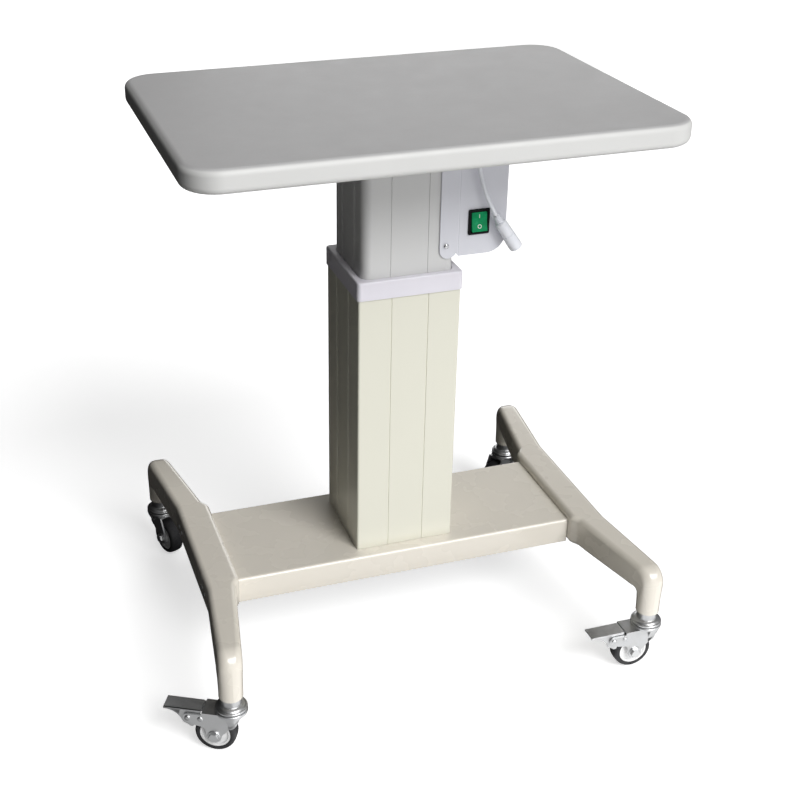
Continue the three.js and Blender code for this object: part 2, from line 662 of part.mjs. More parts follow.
function stemGeometry() {
  const collarTop = FOOT.socket - GAP;
  return turned([
    [0, FORK.plate - 4], [9, FORK.plate - 4], [9, FORK.plate - 1], [6, FORK.plate - 1],
    [6, FORK.top + GAP], [19, FORK.top + GAP], [19.4, FORK.top + 2], [17, FORK.top + 5.4],
    [12, FORK.top + 6.8], [12, collarTop], [5, collarTop],
    [5, FOOT.socket + FOOT.boreDepth - 2], [0, FOOT.socket + FOOT.boreDepth - 2],
  ], 20);
}

// Cheek of the fork seen from the side: full depth under the crown, narrowing down to the axle.
function cheekOutline(braked) {
  const { plate } = FORK;
  const trail = CASTER.trail;
  const shape = new THREE.Shape();
  shape.moveTo(-12, plate + 1);
  shape.lineTo(-11, plate - 8);
  shape.lineTo(trail - 8.5, axleHeight - 2.5);
  shape.absarc(trail, axleHeight, 8.5, 1.1 * Math.PI, 1.95 * Math.PI, false);
  if (braked) {
    shape.lineTo(trail + 11, 36);
    shape.lineTo(43, 39);
    shape.absarc(FORK.pivotX, FORK.pivotZ, 5.5, 1.6 * Math.PI, 2.5 * Math.PI, false);
    shape.lineTo(34, FORK.pivotZ + 5.5);
    shape.lineTo(33, plate + 1);
  } else {
    shape.lineTo(trail + 9, 40);
    shape.lineTo(trail + 1, plate + 1);
  }
  return shape;
}

function forkGeometry(braked) {
  const { top, crown, plate, inner, sheet } = FORK;
  const outer = inner + sheet;
  const dome = turned([
    [0, plate], [crown - 1, plate], [crown, plate + 1.5], [crown, top - 1], [0, top - 1],
  ], 20);
  const reach = braked ? 33 : CASTER.trail;
  const web = block(0, reach, -outer, outer, plate, plate + sheet);
  const outline = cheekOutline(braked);
  const cheeks = [[-outer, -inner], [inner, outer]].map(([y0, y1]) => alongY(outline, y0, y1, 4));
  const kingpin = rod(6 + GAP, plate - 2, top + 2, 12);
  const axleHole = rod(3 + GAP, -outer - 1, outer + 1, 10).rotateX(Math.PI / 2);
  axleHole.translate(CASTER.trail, 0, axleHeight);
  const holes = [kingpin, axleHole];
  if (braked) {
    const pivot = rod(2 + GAP, -outer - 1, outer + 1, 8).rotateX(Math.PI / 2);
    holes.push(pivot.translate(FORK.pivotX, 0, FORK.pivotZ));
  }
  return cut(join(dome, web, ...cheeks), ...holes);
}

function axleGeometry() {
  const outer = FORK.inner + FORK.sheet;
  const shank = rod(3, -outer - 1, outer + 1, 10);
  const head = rod(6, outer + GAP, outer + GAP + 4, 6);
  const nut = rod(6, -outer - GAP - 4, -outer - GAP, 6);
  return join(shank, head, nut).rotateX(Math.PI / 2);
}

function hubGeometry() {
  const half = 8.8;
  return turned([
    [3 + GAP, -half - 1.4], [7.5, -half - 1.4], [8, -half + 2], [16, -half + 2], [16.5, -half],
    [18.6, -half], [18.6, half], [16.5, half], [16, half - 2], [8, half - 2], [7.5, half + 1.4],
    [3 + GAP, half + 1.4], [3 + GAP, -half - 1.4],
  ], 20).rotateX(Math.PI / 2);
}

function tyreGeometry() {
  const { wheel } = CASTER;
  const half = 9.5;
  const bore = 18.6 + GAP;
  return turned([
    [bore, -half], [wheel - 2.6, -half], [wheel, -half + 3.5],
    [wheel, half - 3.5], [wheel - 2.6, half], [bore, half], [bore, -half],
  ], 32).rotateX(Math.PI / 2);
}

// Foot brake pedal: flat tread with two side flanges that hang on the pivot pin inside the fork,
// and a brake bar between the flanges that comes down on the tyre. Drawn about the pivot.
const PEDAL = { tread: 58, start: 35, reach: 80, half: 10.2, sheet: 1.8 };

function pedalGeometry() {
  const outerFace = PEDAL.half;
  const innerFace = outerFace - PEDAL.sheet;
  const treadTop = PEDAL.tread - FORK.pivotZ;
  const start = PEDAL.start - FORK.pivotX;
  const tip = PEDAL.reach - FORK.pivotX;
  const tread = block(start, tip, -outerFace, outerFace, treadTop - PEDAL.sheet, treadTop);
  const flange = new THREE.Shape();
  flange.moveTo(tip, treadTop);
  flange.lineTo(tip, treadTop - 2.4);
  flange.quadraticCurveTo(13, 7, 6.5, -9.5);
  flange.lineTo(0.5, -12.5);
  flange.lineTo(-2.5, -14.8);
  flange.lineTo(-5.5, -14.5);
  flange.lineTo(-7, -11.5);
  flange.lineTo(-6.5, -8);
  flange.lineTo(-10, -1);
  flange.lineTo(start, 5.5);
  flange.lineTo(start, treadTop);
  const faces = [[-outerFace, -innerFace], [innerFace, outerFace]];
  const flanges = faces.map(([y0, y1]) => alongY(flange, y0, y1, 4));
  const bar = rod(3, -outerFace + 1, outerFace - 1, 10).rotateX(Math.PI / 2);
  bar.translate(-3.5, 0, -11.5);
  const hole = rod(2 + GAP, -outerFace - 1, outerFace + 1, 8).rotateX(Math.PI / 2);
  return cut(join(tread, bar, ...flanges), hole);
}

function pedalPinGeometry() {
  const seat = FORK.inner + FORK.sheet + GAP;
  const shank = rod(2, -seat - 1, seat + 1, 8);
  const near = rod(3.6, -seat - 1.6, -seat, 12);
  const far = rod(3.6, seat, seat + 1.6, 12);
  return join(shank, near, far).rotateX(Math.PI / 2);
}

const CASTERS = [
  { name: 'front_left', x: -CASTER.x, y: -CASTER.y, heading: 152, braked: true },
  { name: 'front_right', x: CASTER.x, y: -CASTER.y, heading: 180, braked: true },
  { name: 'rear_left', x: -CASTER.x, y: CASTER.y, heading: -70, braked: false },
  { name: 'rear_right', x: CASTER.x, y: CASTER.y, heading: 205, braked: false },
];

function buildCaster({ name, x, y, heading, braked }) {
  const caster = new THREE.Group();
  caster.position.set(x, y, 0);
  caster.rotation.z = THREE.MathUtils.degToRad(heading);
  assembly.add(caster);
  add(`${name}_caster_stem`, stemGeometry(), MATERIALS.zinc, caster);
  add(`${name}_caster_fork`, forkGeometry(braked), MATERIALS.zinc, caster);

  const wheel = new THREE.Group();
  wheel.position.set(CASTER.trail, 0, axleHeight);
  caster.add(wheel);
  add(`${name}_caster_axle`, axleGeometry(), MATERIALS.zinc, wheel);
  add(`${name}_wheel_hub`, hubGeometry(), MATERIALS.whitePlastic, wheel);
  add(`${name}_tyre`, tyreGeometry(), MATERIALS.rubber, wheel);

  if (braked) {
    const brake = new THREE.Group();
    brake.position.set(FORK.pivotX, 0, FORK.pivotZ);
    caster.add(brake);
    add(`${name}_brake_pedal`, pedalGeometry(), MATERIALS.steel, brake);
    add(`${name}_pedal_pin`, pedalPinGeometry(), MATERIALS.zinc, brake);
  }
}

buildTabletop();
buildColumn();
buildActuator();
buildBase();
buildControlBox();
buildCord();
CASTERS.forEach(buildCaster);

export default table;
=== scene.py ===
"""Looks of a motorised ophthalmic instrument table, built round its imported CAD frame.

Lengths in this script are millimetres and become metres when a mesh is made. The row frame has
+Z up and the front towards -Y. The column stands COLUMN_X right of the origin.
"""

import json
import math

import bmesh
import bpy
from mathutils import Matrix, Vector


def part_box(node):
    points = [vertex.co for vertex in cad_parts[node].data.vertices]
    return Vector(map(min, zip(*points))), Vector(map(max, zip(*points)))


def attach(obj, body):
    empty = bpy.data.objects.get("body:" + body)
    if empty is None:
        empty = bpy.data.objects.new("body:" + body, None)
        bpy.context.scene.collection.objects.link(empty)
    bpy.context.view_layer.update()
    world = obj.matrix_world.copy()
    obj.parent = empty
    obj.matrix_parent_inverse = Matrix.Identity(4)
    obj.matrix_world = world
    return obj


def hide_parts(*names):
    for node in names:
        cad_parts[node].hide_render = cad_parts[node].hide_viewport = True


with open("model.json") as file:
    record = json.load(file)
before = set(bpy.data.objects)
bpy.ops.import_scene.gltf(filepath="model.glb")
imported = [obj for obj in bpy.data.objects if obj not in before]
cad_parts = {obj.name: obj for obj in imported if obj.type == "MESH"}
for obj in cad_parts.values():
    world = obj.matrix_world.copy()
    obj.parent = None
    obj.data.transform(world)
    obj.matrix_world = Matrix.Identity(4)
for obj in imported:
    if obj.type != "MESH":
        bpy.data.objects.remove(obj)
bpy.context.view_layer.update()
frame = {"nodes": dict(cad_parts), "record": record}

MM = 0.001
COLUMN_X = 28.0


def low(node):
    """Lowest corner of a CAD node in millimetres."""
    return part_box(node)[0] / MM


def high(node):
    """Highest corner of a CAD node in millimetres."""
    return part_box(node)[1] / MM


# ---- camera ----

lens = bpy.data.cameras.new("camera")
lens.sensor_width = 36
lens.lens = 59.89
lens.shift_x = 0.06895
lens.shift_y = -0.02974
camera = bpy.data.objects.new("camera", lens)
bpy.context.scene.collection.objects.link(camera)
camera.location = (-0.47925, -1.40974, 1.11055)
aim = Vector((-0.0330, 0.0, 0.3524)) - camera.location
camera.rotation_euler = aim.to_track_quat("-Z", "Y").to_euler()
bpy.context.scene.camera = camera

# ---- mesh helpers ----


def solid(name, part, place=None, weld=1e-7):
    """A linked object from (points, faces) in millimetres, welded, with its normals outward."""
    mesh = bpy.data.meshes.new(name)
    mesh.from_pydata([Vector(v) * MM for v in part[0]], [], part[1])
    if place is not None:
        mesh.transform(Matrix.Translation(place.translation * MM) @ place.to_3x3().to_4x4())
    bm = bmesh.new()
    bm.from_mesh(mesh)
    bmesh.ops.remove_doubles(bm, verts=bm.verts, dist=weld)
    bmesh.ops.recalc_face_normals(bm, faces=bm.faces)
    bm.to_mesh(mesh)
    bm.free()
    obj = bpy.data.objects.new(name, mesh)
    bpy.context.scene.collection.objects.link(obj)
    return obj


def make(name, verts, faces, material, body, nodes=(), place=None, bevel=0.0, steps=2, slot=None):
    """A smooth piece that rides on a body, stands for CAD nodes and carries its material."""
    obj = solid(name, (verts, faces), place, 1e-6)
    obj.data.materials.append(material)
    if bevel:
        rounding = obj.modifiers.new("rounding", "BEVEL")
        rounding.width = bevel * MM
        rounding.segments = steps
        rounding.limit_method = "ANGLE"
        rounding.angle_limit = math.radians(38)
        rounding.use_clamp_overlap = True
    smooth(obj.data)
    obj.modifiers.new("weighting", "WEIGHTED_NORMAL").keep_sharp = True
    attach(obj, body)
    if nodes:
        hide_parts(*nodes)
    return obj


def smooth(mesh):
    """Shades a mesh smooth, apart from edges of more than 40 degrees."""
    bm = bmesh.new()
    bm.from_mesh(mesh)
    for face in bm.faces:
        face.smooth = True
    for edge in bm.edges:
        if len(edge.link_faces) == 2:
            edge.smooth = edge.calc_face_angle(0) < math.radians(40)
    bm.to_mesh(mesh)
    bm.free()


def loft(rings, loop=False, start=True, end=True):
    """Skin over rings that all have the same number of points."""
    count = len(rings[0])
    verts = [p for ring in rings for p in ring]
    faces = []
    spans = len(rings) if loop else len(rings) - 1
    for i in range(spans):
        j = (i + 1) % len(rings)
        for k in range(count):
            m = (k + 1) % count
            faces.append((i * count + k, i * count + m, j * count + m, j * count + k))
    if not loop:
        if start:
            faces.append(tuple(range(count))[::-1])
        if end:
            last = (len(rings) - 1) * count
            faces.append(tuple(last + k for k in range(count)))
    return verts, faces


def merge(*parts):
    verts, faces = [], []
    for points, polygons in parts:
        shift = len(verts)
        verts += list(points)
        faces += [tuple(i + shift for i in polygon) for polygon in polygons]
    return verts, faces


def moved(part, matrix):
    verts, faces = part
    return [matrix @ Vector(v) for v in verts], faces


def rounded(width, depth, radius, steps=6):
    """Points of a rounded rectangle, anticlockwise."""
    radius = max(min(radius, width / 2 - 0.01, depth / 2 - 0.01), 0.01)
    points = []
    for sx, sy, turn in ((1, 1, 0), (-1, 1, 90), (-1, -1, 180), (1, -1, 270)):
        for k in range(steps + 1):
            angle = math.radians(turn + 90 * k / steps)
            points.append((
                sx * (width / 2 - radius) + radius * math.cos(angle),
                sy * (depth / 2 - radius) + radius * math.sin(angle),
            ))
    return points


def stack(levels, steps=6, **ends):
    """Rounded rectangles (width, depth, radius, z) joined from one to the next."""
    rings = [[(x, y, z) for x, y in rounded(w, d, r, steps)] for w, d, r, z in levels]
    return loft(rings, **ends)


def lathe(profile, segments=40, loop=False):
    """Solid of revolution about Z from (radius, z) pairs; a radius of 0 closes an end."""
    closed_start, closed_end = profile[0][0] == 0, profile[-1][0] == 0
    rows = [p for p in profile if p[0] > 0]
    rings = []
    for radius, z in rows:
        rings.append([
            (
                radius * math.cos(2 * math.pi * k / segments),
                radius * math.sin(2 * math.pi * k / segments),
                z,
            )
            for k in range(segments)
        ])
    return loft(rings, loop=loop, start=closed_start, end=closed_end)


def prism(outline, low_end, high_end, axis="Z"):
    """Straight solid on a plane outline. Along Y the outline is (x, z), along X it is (y, z)."""
    if axis == "Z":
        rings = [[(u, v, w) for u, v in outline] for w in (low_end, high_end)]
    elif axis == "Y":
        rings = [[(u, w, v) for u, v in outline] for w in (low_end, high_end)]
    else:
        rings = [[(w, u, v) for u, v in outline] for w in (low_end, high_end)]
    return loft(rings)


def arc(cx, cy, radius, start, stop, steps=8):
    return [
        (
            cx + radius * math.cos(math.radians(start + (stop - start) * k / steps)),
            cy + radius * math.sin(math.radians(start + (stop - start) * k / steps)),
        )
        for k in range(steps + 1)
    ]


def combine(obj, part, operation, place=None):
    """Joins a solid to a piece or takes it out, for good, before the piece's other modifiers."""
    other = solid("other", part, place)
    boolean = obj.modifiers.new("combine", "BOOLEAN")
    boolean.operation, boolean.solver, boolean.object = operation, "EXACT", other
    kept = [m for m in obj.modifiers if m != boolean]
    for m in kept:
        m.show_viewport = False
    bpy.context.view_layer.update()
    graph = bpy.context.evaluated_depsgraph_get()
    result = bpy.data.meshes.new_from_object(obj.evaluated_get(graph))
    obj.modifiers.remove(boolean)
    for m in kept:
        m.show_viewport = True
    obj.data = result
    bpy.data.objects.remove(other)


def cut(obj, *parts):
    for part in parts:
        combine(obj, part, "DIFFERENCE")
    smooth(obj.data)


def joined(name, parts, place, material, body, nodes, bevel):
    """Unites overlapping solids into one piece."""
    first = make(name, *parts[0], material, body, nodes, place, bevel, 3)
    for part in parts[1:]:
        combine(first, part, "UNION", place)
    smooth(first.data)


def shifted(x, y, z):
    return Matrix.Translation((x, y, z))


def turned(degrees, axis):
    return Matrix.Rotation(math.radians(degrees), 4, axis)


def y_axis(x, y, z):
    """Places something drawn about Z so that its Z points towards -Y."""
    return shifted(x, y, z) @ turned(90, "X")


# ---- materials ----


class Paint:
    """A Principled material whose colour, roughness and relief come from noise in object space."""

    def __init__(self, name, metallic=0.0, coat=0.0, coat_rough=0.1, ior=1.5):
        self.material = bpy.data.materials.new(name)
        self.material.use_nodes = True
        self.tree = self.material.node_tree
        self.shader = self.tree.nodes["Principled BSDF"]
        self.shader.inputs["Metallic"].default_value = metallic
        self.shader.inputs["Coat Weight"].default_value = coat
        self.shader.inputs["Coat Roughness"].default_value = coat_rough
        self.shader.inputs["IOR"].default_value = ior
        self.place = self.tree.nodes.new("ShaderNodeTexCoord").outputs["Object"]
        self.relief = None

    def link(self, a, b):
        self.tree.links.new(a, b)

    def noise(self, scale, detail=3.0, rough=0.5, stretch=(1, 1, 1), seed=0.0):
        shift = self.tree.nodes.new("ShaderNodeMapping")
        shift.inputs["Scale"].default_value = stretch
        shift.inputs["Location"].default_value = (seed, seed * 0.7, seed * 1.3)
        self.link(self.place, shift.inputs["Vector"])
        noise = self.tree.nodes.new("ShaderNodeTexNoise")
        noise.inputs["Scale"].default_value = scale
        noise.inputs["Detail"].default_value = detail
        noise.inputs["Roughness"].default_value = rough
        self.link(shift.outputs["Vector"], noise.inputs["Vector"])
        return noise.outputs["Fac"]

    def ramp(self, value, stops):
        node = self.tree.nodes.new("ShaderNodeValToRGB")
        elements = node.color_ramp.elements
        elements[0].position, elements[0].color = stops[0][0], (*stops[0][1], 1)
        elements[1].position, elements[1].color = stops[-1][0], (*stops[-1][1], 1)
        for position, color in stops[1:-1]:
            elements.new(position).color = (*color, 1)
        self.link(value, node.inputs["Fac"])
        return node.outputs["Color"]

    def span(self, value, a, b, c, d):
        node = self.tree.nodes.new("ShaderNodeMapRange")
        for key, number in zip(("From Min", "From Max", "To Min", "To Max"), (a, b, c, d)):
            node.inputs[key].default_value = number
        self.link(value, node.inputs["Value"])
        return node.outputs["Result"]

    def mix(self, factor, first, second, blend="MIX"):
        node = self.tree.nodes.new("ShaderNodeMix")
        node.data_type = "RGBA"
        node.blend_type = blend
        for socket, value in ((0, factor), (6, first), (7, second)):
            if hasattr(value, "is_linked"):
                self.link(value, node.inputs[socket])
            elif isinstance(value, tuple):
                node.inputs[socket].default_value = (*value, 1)
            else:
                node.inputs[socket].default_value = value
        return node.outputs[2]

    def color(self, value):
        self.link(value, self.shader.inputs["Base Color"])

    def rough(self, value, least, most):
        """Roughness that follows a noise between two values."""
        self.link(self.span(value, 0.3, 0.7, least, most), self.shader.inputs["Roughness"])

    def bump(self, value, strength, distance):
        node = self.tree.nodes.new("ShaderNodeBump")
        node.inputs["Strength"].default_value = strength
        node.inputs["Distance"].default_value = distance * MM
        self.link(value, node.inputs["Height"])
        if self.relief is not None:
            self.link(self.relief, node.inputs["Normal"])
        self.relief = node.outputs["Normal"]
        self.link(self.relief, self.shader.inputs["Normal"])

    def edges(self, color, worn, amount=1.0):
        """Lets the raised edges take the colour of wear."""
        point = self.tree.nodes.new("ShaderNodeNewGeometry").outputs["Pointiness"]
        mask = self.span(point, 0.52, 0.60, 0.0, amount)
        return self.mix(mask, color, worn)


def shade(color, factor):
    return tuple(min(c * factor, 1.0) for c in color)


def painted(name, color, gloss=0.32, orange=0.18, coat=0.25, dirt=0.95):
    """Sprayed enamel or powder coat: faint cloudiness, orange peel, and paler rubbed edges."""
    p = Paint(name, coat=coat, coat_rough=0.12)
    cloud = p.noise(9, 2, 0.45)
    speck = p.noise(140, 2, 0.5, seed=3.0)
    base = p.ramp(cloud, [(0.3, shade(color, 0.985)), (0.55, color), (0.75, shade(color, 1.01))])
    base = p.mix(p.span(speck, 0.62, 0.74, 0.0, 0.22), base, shade(color, dirt))
    p.color(p.edges(base, shade(color, 1.06), 0.5))
    p.rough(p.noise(26, 2, 0.5, seed=7.0), gloss - 0.01, gloss + 0.03)
    p.bump(p.noise(620, 2, 0.4, seed=11.0), orange, 0.02)
    return p.material


def moulded(name, color, gloss=0.4, grain=900, relief=0.25, coat=0.0, mottle=0.96):
    """Injection moulding: near-even colour, spark-eroded grain, slight flow marks."""
    p = Paint(name, coat=coat, coat_rough=0.1)
    flow = p.noise(14, 5, 0.6, stretch=(1, 1, 0.4))
    base = p.ramp(flow, [(0.25, shade(color, mottle)), (0.6, color), (0.8, shade(color, 1.03))])
    p.color(p.edges(base, shade(color, 1.12), 0.4))
    p.rough(p.noise(45, 4, 0.6, seed=5.0), gloss - 0.06, gloss + 0.1)
    p.bump(p.noise(grain, 3, 0.55, seed=9.0), relief, 0.03)
    return p.material


def plated(name, color, gloss=0.28, cloud=0.86, brush=(1, 1, 1), scratch=0.25, tint=None):
    """Metal with a thin plating: cloudy reflection, fine drawn lines and brighter edges."""
    p = Paint(name, metallic=1.0)
    patches = p.noise(70, 5, 0.65)
    base = p.ramp(patches, [
        (0.3, shade(color, cloud)), (0.52, color), (0.72, tint or shade(color, 1.08)),
    ])
    p.color(p.edges(base, shade(color, 1.25), 0.6))
    lines = p.noise(420, 3, 0.6, stretch=brush, seed=2.0)
    p.rough(p.mix(0.5, lines, patches), gloss - 0.08, gloss + 0.14)
    p.bump(lines, scratch, 0.02)
    return p.material


def laminate_top():
    """Grey laminate on the flat, and a pale moulded rim from the rounding down."""
    grey, rim = (0.60, 0.595, 0.595), (0.79, 0.79, 0.775)
    p = Paint("laminate", coat=0.08, coat_rough=0.3)
    cloud = p.noise(5, 5, 0.6)
    grain = p.noise(520, 4, 0.65, seed=4.0)
    top = p.ramp(cloud, [(0.3, shade(grey, 0.955)), (0.55, grey), (0.75, shade(grey, 1.035))])
    top = p.mix(p.span(grain, 0.35, 0.7, 0.0, 0.5), top, shade(grey, 0.93))
    side = p.ramp(p.noise(18, 4, 0.5, seed=8.0), [(0.3, shade(rim, 0.97)), (0.7, rim)])
    split = p.tree.nodes.new("ShaderNodeSeparateXYZ")
    p.link(p.place, split.inputs["Vector"])
    surface = high("tabletop").z * MM
    is_top = p.span(split.outputs["Z"], surface - 2.6 * MM, surface - 1.2 * MM, 0.0, 1.0)
    p.color(p.mix(is_top, side, top))
    p.rough(p.noise(30, 5, 0.6, seed=6.0), 0.40, 0.54)
    p.bump(grain, 0.3, 0.035)
    return p.material


def rubber():
    color = (0.022, 0.022, 0.024)
    p = Paint("tyre_rubber", ior=1.45)
    dust = p.noise(120, 5, 0.7)
    base = p.ramp(dust, [(0.35, color), (0.6, shade(color, 1.5)), (0.8, (0.07, 0.068, 0.064))])
    p.color(base)
    p.rough(p.noise(90, 4, 0.6, seed=3.0), 0.5, 0.78)
    p.bump(p.noise(700, 4, 0.6, seed=1.0), 0.4, 0.05)
    return p.material


def lens_green():
    color = (0.003, 0.31, 0.11)
    p = Paint("green_lens")
    glow = p.noise(160, 3, 0.5)
    p.color(p.ramp(glow, [(0.3, shade(color, 0.8)), (0.6, color), (0.8, (0.02, 0.40, 0.18))]))
    p.rough(p.noise(300, 3, 0.5, seed=2.0), 0.26, 0.38)
    p.bump(p.noise(900, 2, 0.5, seed=4.0), 0.12, 0.02)
    return p.material


LAMINATE = laminate_top()
CREAM = painted("cream_paint", (0.73, 0.72, 0.62), gloss=0.36, coat=0.15)
BEIGE = painted("beige_paint", (0.79, 0.745, 0.66), gloss=0.26, coat=0.5)
PANEL = painted("panel_paint", (0.74, 0.745, 0.80), gloss=0.42, coat=0.1)
ANODISED = painted("anodised", (0.66, 0.66, 0.655), gloss=0.42, coat=0.05, orange=0.12)
COLLAR = moulded("collar_plastic", (0.78, 0.76, 0.82), gloss=0.4)
WHITE = moulded("white_plastic", (0.87, 0.885, 0.94), gloss=0.36)
HUB = moulded("hub_plastic", (0.86, 0.86, 0.86), gloss=0.3, coat=0.2)
BLACK = moulded("black_plastic", (0.007, 0.007, 0.008), gloss=0.5, mottle=0.8)
MARK = moulded("mark_ink", (0.80, 0.86, 0.80), gloss=0.5)
GREEN = lens_green()
for dull in (BLACK, GREEN):
    dull.node_tree.nodes["Principled BSDF"].inputs["Specular IOR Level"].default_value = 0.12
BOARD = moulded("board_green", (0.02, 0.16, 0.06), gloss=0.35)
RUBBER = rubber()
ZINC = plated("zinc_plate", (0.60, 0.605, 0.61), gloss=0.36, cloud=0.93, tint=(0.62, 0.63, 0.65))
PEDAL = plated("pedal_steel", (0.60, 0.605, 0.61), gloss=0.46, brush=(1, 12, 12), cloud=0.75)
STEEL = plated("steel", (0.46, 0.465, 0.47), gloss=0.38)
PLATE = plated("plated_steel", (0.60, 0.61, 0.62), gloss=0.34)
CHROME = plated("chrome", (0.72, 0.72, 0.74), gloss=0.12, scratch=0.08)
BRASS = plated("brass", (0.60, 0.43, 0.16), gloss=0.3, cloud=0.8)

SLOT_MATERIAL = {
    "top_laminate": LAMINATE, "anodised": ANODISED, "cream_paint": CREAM, "beige_paint": BEIGE,
    "collar_plastic": COLLAR, "panel_paint": PANEL, "black_plastic": BLACK, "green_lens": GREEN,
    "white_plastic": WHITE, "hub_plastic": HUB, "zinc_plate": ZINC, "pedal_steel": PEDAL,
    "plated_steel": PLATE, "steel": STEEL, "chrome": CHROME, "brass": BRASS,
    "tyre_rubber": RUBBER, "board_green": BOARD,
}

# ---- output cord ----

# The route repeats the cord's line in the CAD source, in the row frame.
ROUTE = [
    (105.0, -61.7, 645.0), (105.0, -65.2, 644.4), (105.5, -69.5, 637.0), (107.2, -69.5, 625.0),
    (116.6, -69.5, 596.0), (129.0, -69.5, 571.5),
]
PLUG_END = (157.5, -69.5, 528.5)
CORD_RADIUS = 2.5


def through(points, per_span=5):
    """Catmull-Rom points through the given ones."""
    ends = [tuple(2 * a - b for a, b in zip(points[0], points[1]))]
    ends += list(points)
    ends += [tuple(2 * a - b for a, b in zip(points[-1], points[-2]))]
    line = []
    for i in range(1, len(ends) - 2):
        a, b, c, d = (Vector(p) for p in ends[i - 1:i + 3])
        for k in range(per_span):
            t = k / per_span
            line.append(
                0.5 * (2 * b + (c - a) * t + (2 * a - 5 * b + 4 * c - d) * t * t
                       + (3 * b - a - 3 * c + d) * t ** 3)
            )
    line.append(Vector(points[-1]))
    return line


cord_line = through(ROUTE)
curve = bpy.data.curves.new("lamp_cord", "CURVE")
curve.dimensions = "3D"
curve.bevel_depth = CORD_RADIUS * MM
curve.bevel_resolution = 6
curve.use_fill_caps = True
spline = curve.splines.new("POLY")
spline.points.add(len(cord_line) - 1)
for point, place in zip(spline.points, cord_line):
    point.co = (*(place * MM), 1)
spline.use_smooth = True
curve.materials.append(WHITE)
cord = bpy.data.objects.new("lamp_cord", curve)
bpy.context.scene.collection.objects.link(cord)
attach(cord, "lift")
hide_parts("output_cord")

# Connector: ribbed strain relief, tapering body with a ring, and a hollow socket with its pin.
plug_axis = Vector(PLUG_END) - Vector(ROUTE[-1])
plug_long = plug_axis.length
plug_place = Matrix.Translation(ROUTE[-1]) @ plug_axis.to_track_quat("Z", "Y").to_matrix().to_4x4()
profile = [(0, 0.3), (3.3, 0.3), (3.6, 0.7)]
for rib in range(4):
    z = 1.2 + 2.1 * rib
    foot_r, ridge_r = 3.4 + 0.24 * rib, 4.3 + 0.24 * rib
    profile += [(foot_r, z), (ridge_r, z + 0.4), (ridge_r, z + 1.3), (foot_r, z + 1.7)]
profile += [
    (4.4, 9.9), (6.0, 10.5), (6.8, 11.6), (7.1, 13.5), (7.5, 29.6), (7.2, 29.9), (7.2, 30.4),
    (7.7, 30.8), (8.0, 40.0), (8.0, plug_long - 1.4), (7.7, plug_long - 0.5),
    (7.0, plug_long), (5.9, plug_long), (5.5, plug_long - 0.6), (5.5, plug_long - 10),
    (0, plug_long - 10),
]
plug = make("lamp_connector", *moved(lathe(profile, 40), plug_place), WHITE, "lift",
            ["cord_connector"])
pin = lathe([(0, plug_long - 10), (1.1, plug_long - 10), (1.1, plug_long - 2.6),
             (0.7, plug_long - 2), (0, plug_long - 2)], 20)
make("connector_pin", *moved(pin, plug_place), CHROME, "lift")

# ---- tabletop ----

table_low, table_high = low("tabletop"), high("tabletop")
TABLE = table_high - table_low
TABLE_CORNER = 40.0
TABLE_EDGE = 8.0


def table_slab():
    levels = []
    for k in range(9):
        angle = math.radians(90 * k / 8)
        inset = TABLE_EDGE * (1 - math.sin(angle))
        levels.append((inset, table_low.z + TABLE_EDGE * (1 - math.cos(angle))))
    for k in range(9):
        angle = math.radians(90 * k / 8)
        inset = TABLE_EDGE * (1 - math.cos(angle))
        levels.append((inset, table_high.z - TABLE_EDGE * (1 - math.sin(angle))))
    levels.insert(0, (TABLE_EDGE + 1.0, table_low.z))
    levels.append((TABLE_EDGE + 1.0, table_high.z))
    sizes = [(TABLE.x - 2 * i, TABLE.y - 2 * i, TABLE_CORNER - i, z) for i, z in levels]
    return moved(stack(sizes, 16), shifted(COLUMN_X, 0, 0))


make("table_slab", *table_slab(), LAMINATE, "lift", ["tabletop"])

# ---- lifting column ----

GROOVE_AT = (-23.0, 23.0)
GROOVE_HALF = 0.8
GROOVE_DEEP = 0.9


def column_tube(width, depth, wall, corner, z0, z1):
    """Grooved rectangular tube. Every outer point has an inner partner, so the ends close."""
    outer, inner = [], []
    sides = (((1, 0), (0, 1), width, depth), ((0, 1), (-1, 0), depth, width),
             ((-1, 0), (0, -1), width, depth), ((0, -1), (1, 0), depth, width))
    for normal, along, across, span in sides:
        reach = across / 2
        flat = span / 2 - corner
        stops = [(-flat, 0.0)]
        for at in GROOVE_AT:
            for k in range(9):
                angle = math.pi * k / 8
                stops.append((at - GROOVE_HALF * math.cos(angle), GROOVE_DEEP * math.sin(angle)))
        stops.append((flat, 0.0))
        inner_flat = span / 2 - wall - 1.0
        for s, deep in stops:
            outer.append((normal[0] * (reach - deep) + along[0] * s,
                          normal[1] * (reach - deep) + along[1] * s))
            t = max(-inner_flat, min(inner_flat, s))
            inner.append((normal[0] * (reach - wall) + along[0] * t,
                          normal[1] * (reach - wall) + along[1] * t))
        centre = (normal[0] * (reach - corner) + along[0] * flat,
                  normal[1] * (reach - corner) + along[1] * flat)
        bend = max(corner - wall, 0.5)
        inner_centre = (normal[0] * (reach - wall - bend) + along[0] * (span / 2 - wall - bend),
                        normal[1] * (reach - wall - bend) + along[1] * (span / 2 - wall - bend))
        for k in range(1, 10):
            angle = math.radians(90 * k / 10)
            c, s = math.cos(angle), math.sin(angle)
            dx, dy = normal[0] * c + along[0] * s, normal[1] * c + along[1] * s
            outer.append((centre[0] + corner * dx, centre[1] + corner * dy))
            inner.append((inner_centre[0] + bend * dx, inner_centre[1] + bend * dy))
    rings = [[(x, y, z0) for x, y in outer], [(x, y, z1) for x, y in outer],
             [(x, y, z1) for x, y in inner], [(x, y, z0) for x, y in inner]]
    return moved(loft(rings, loop=True), shifted(COLUMN_X, 0, 0))


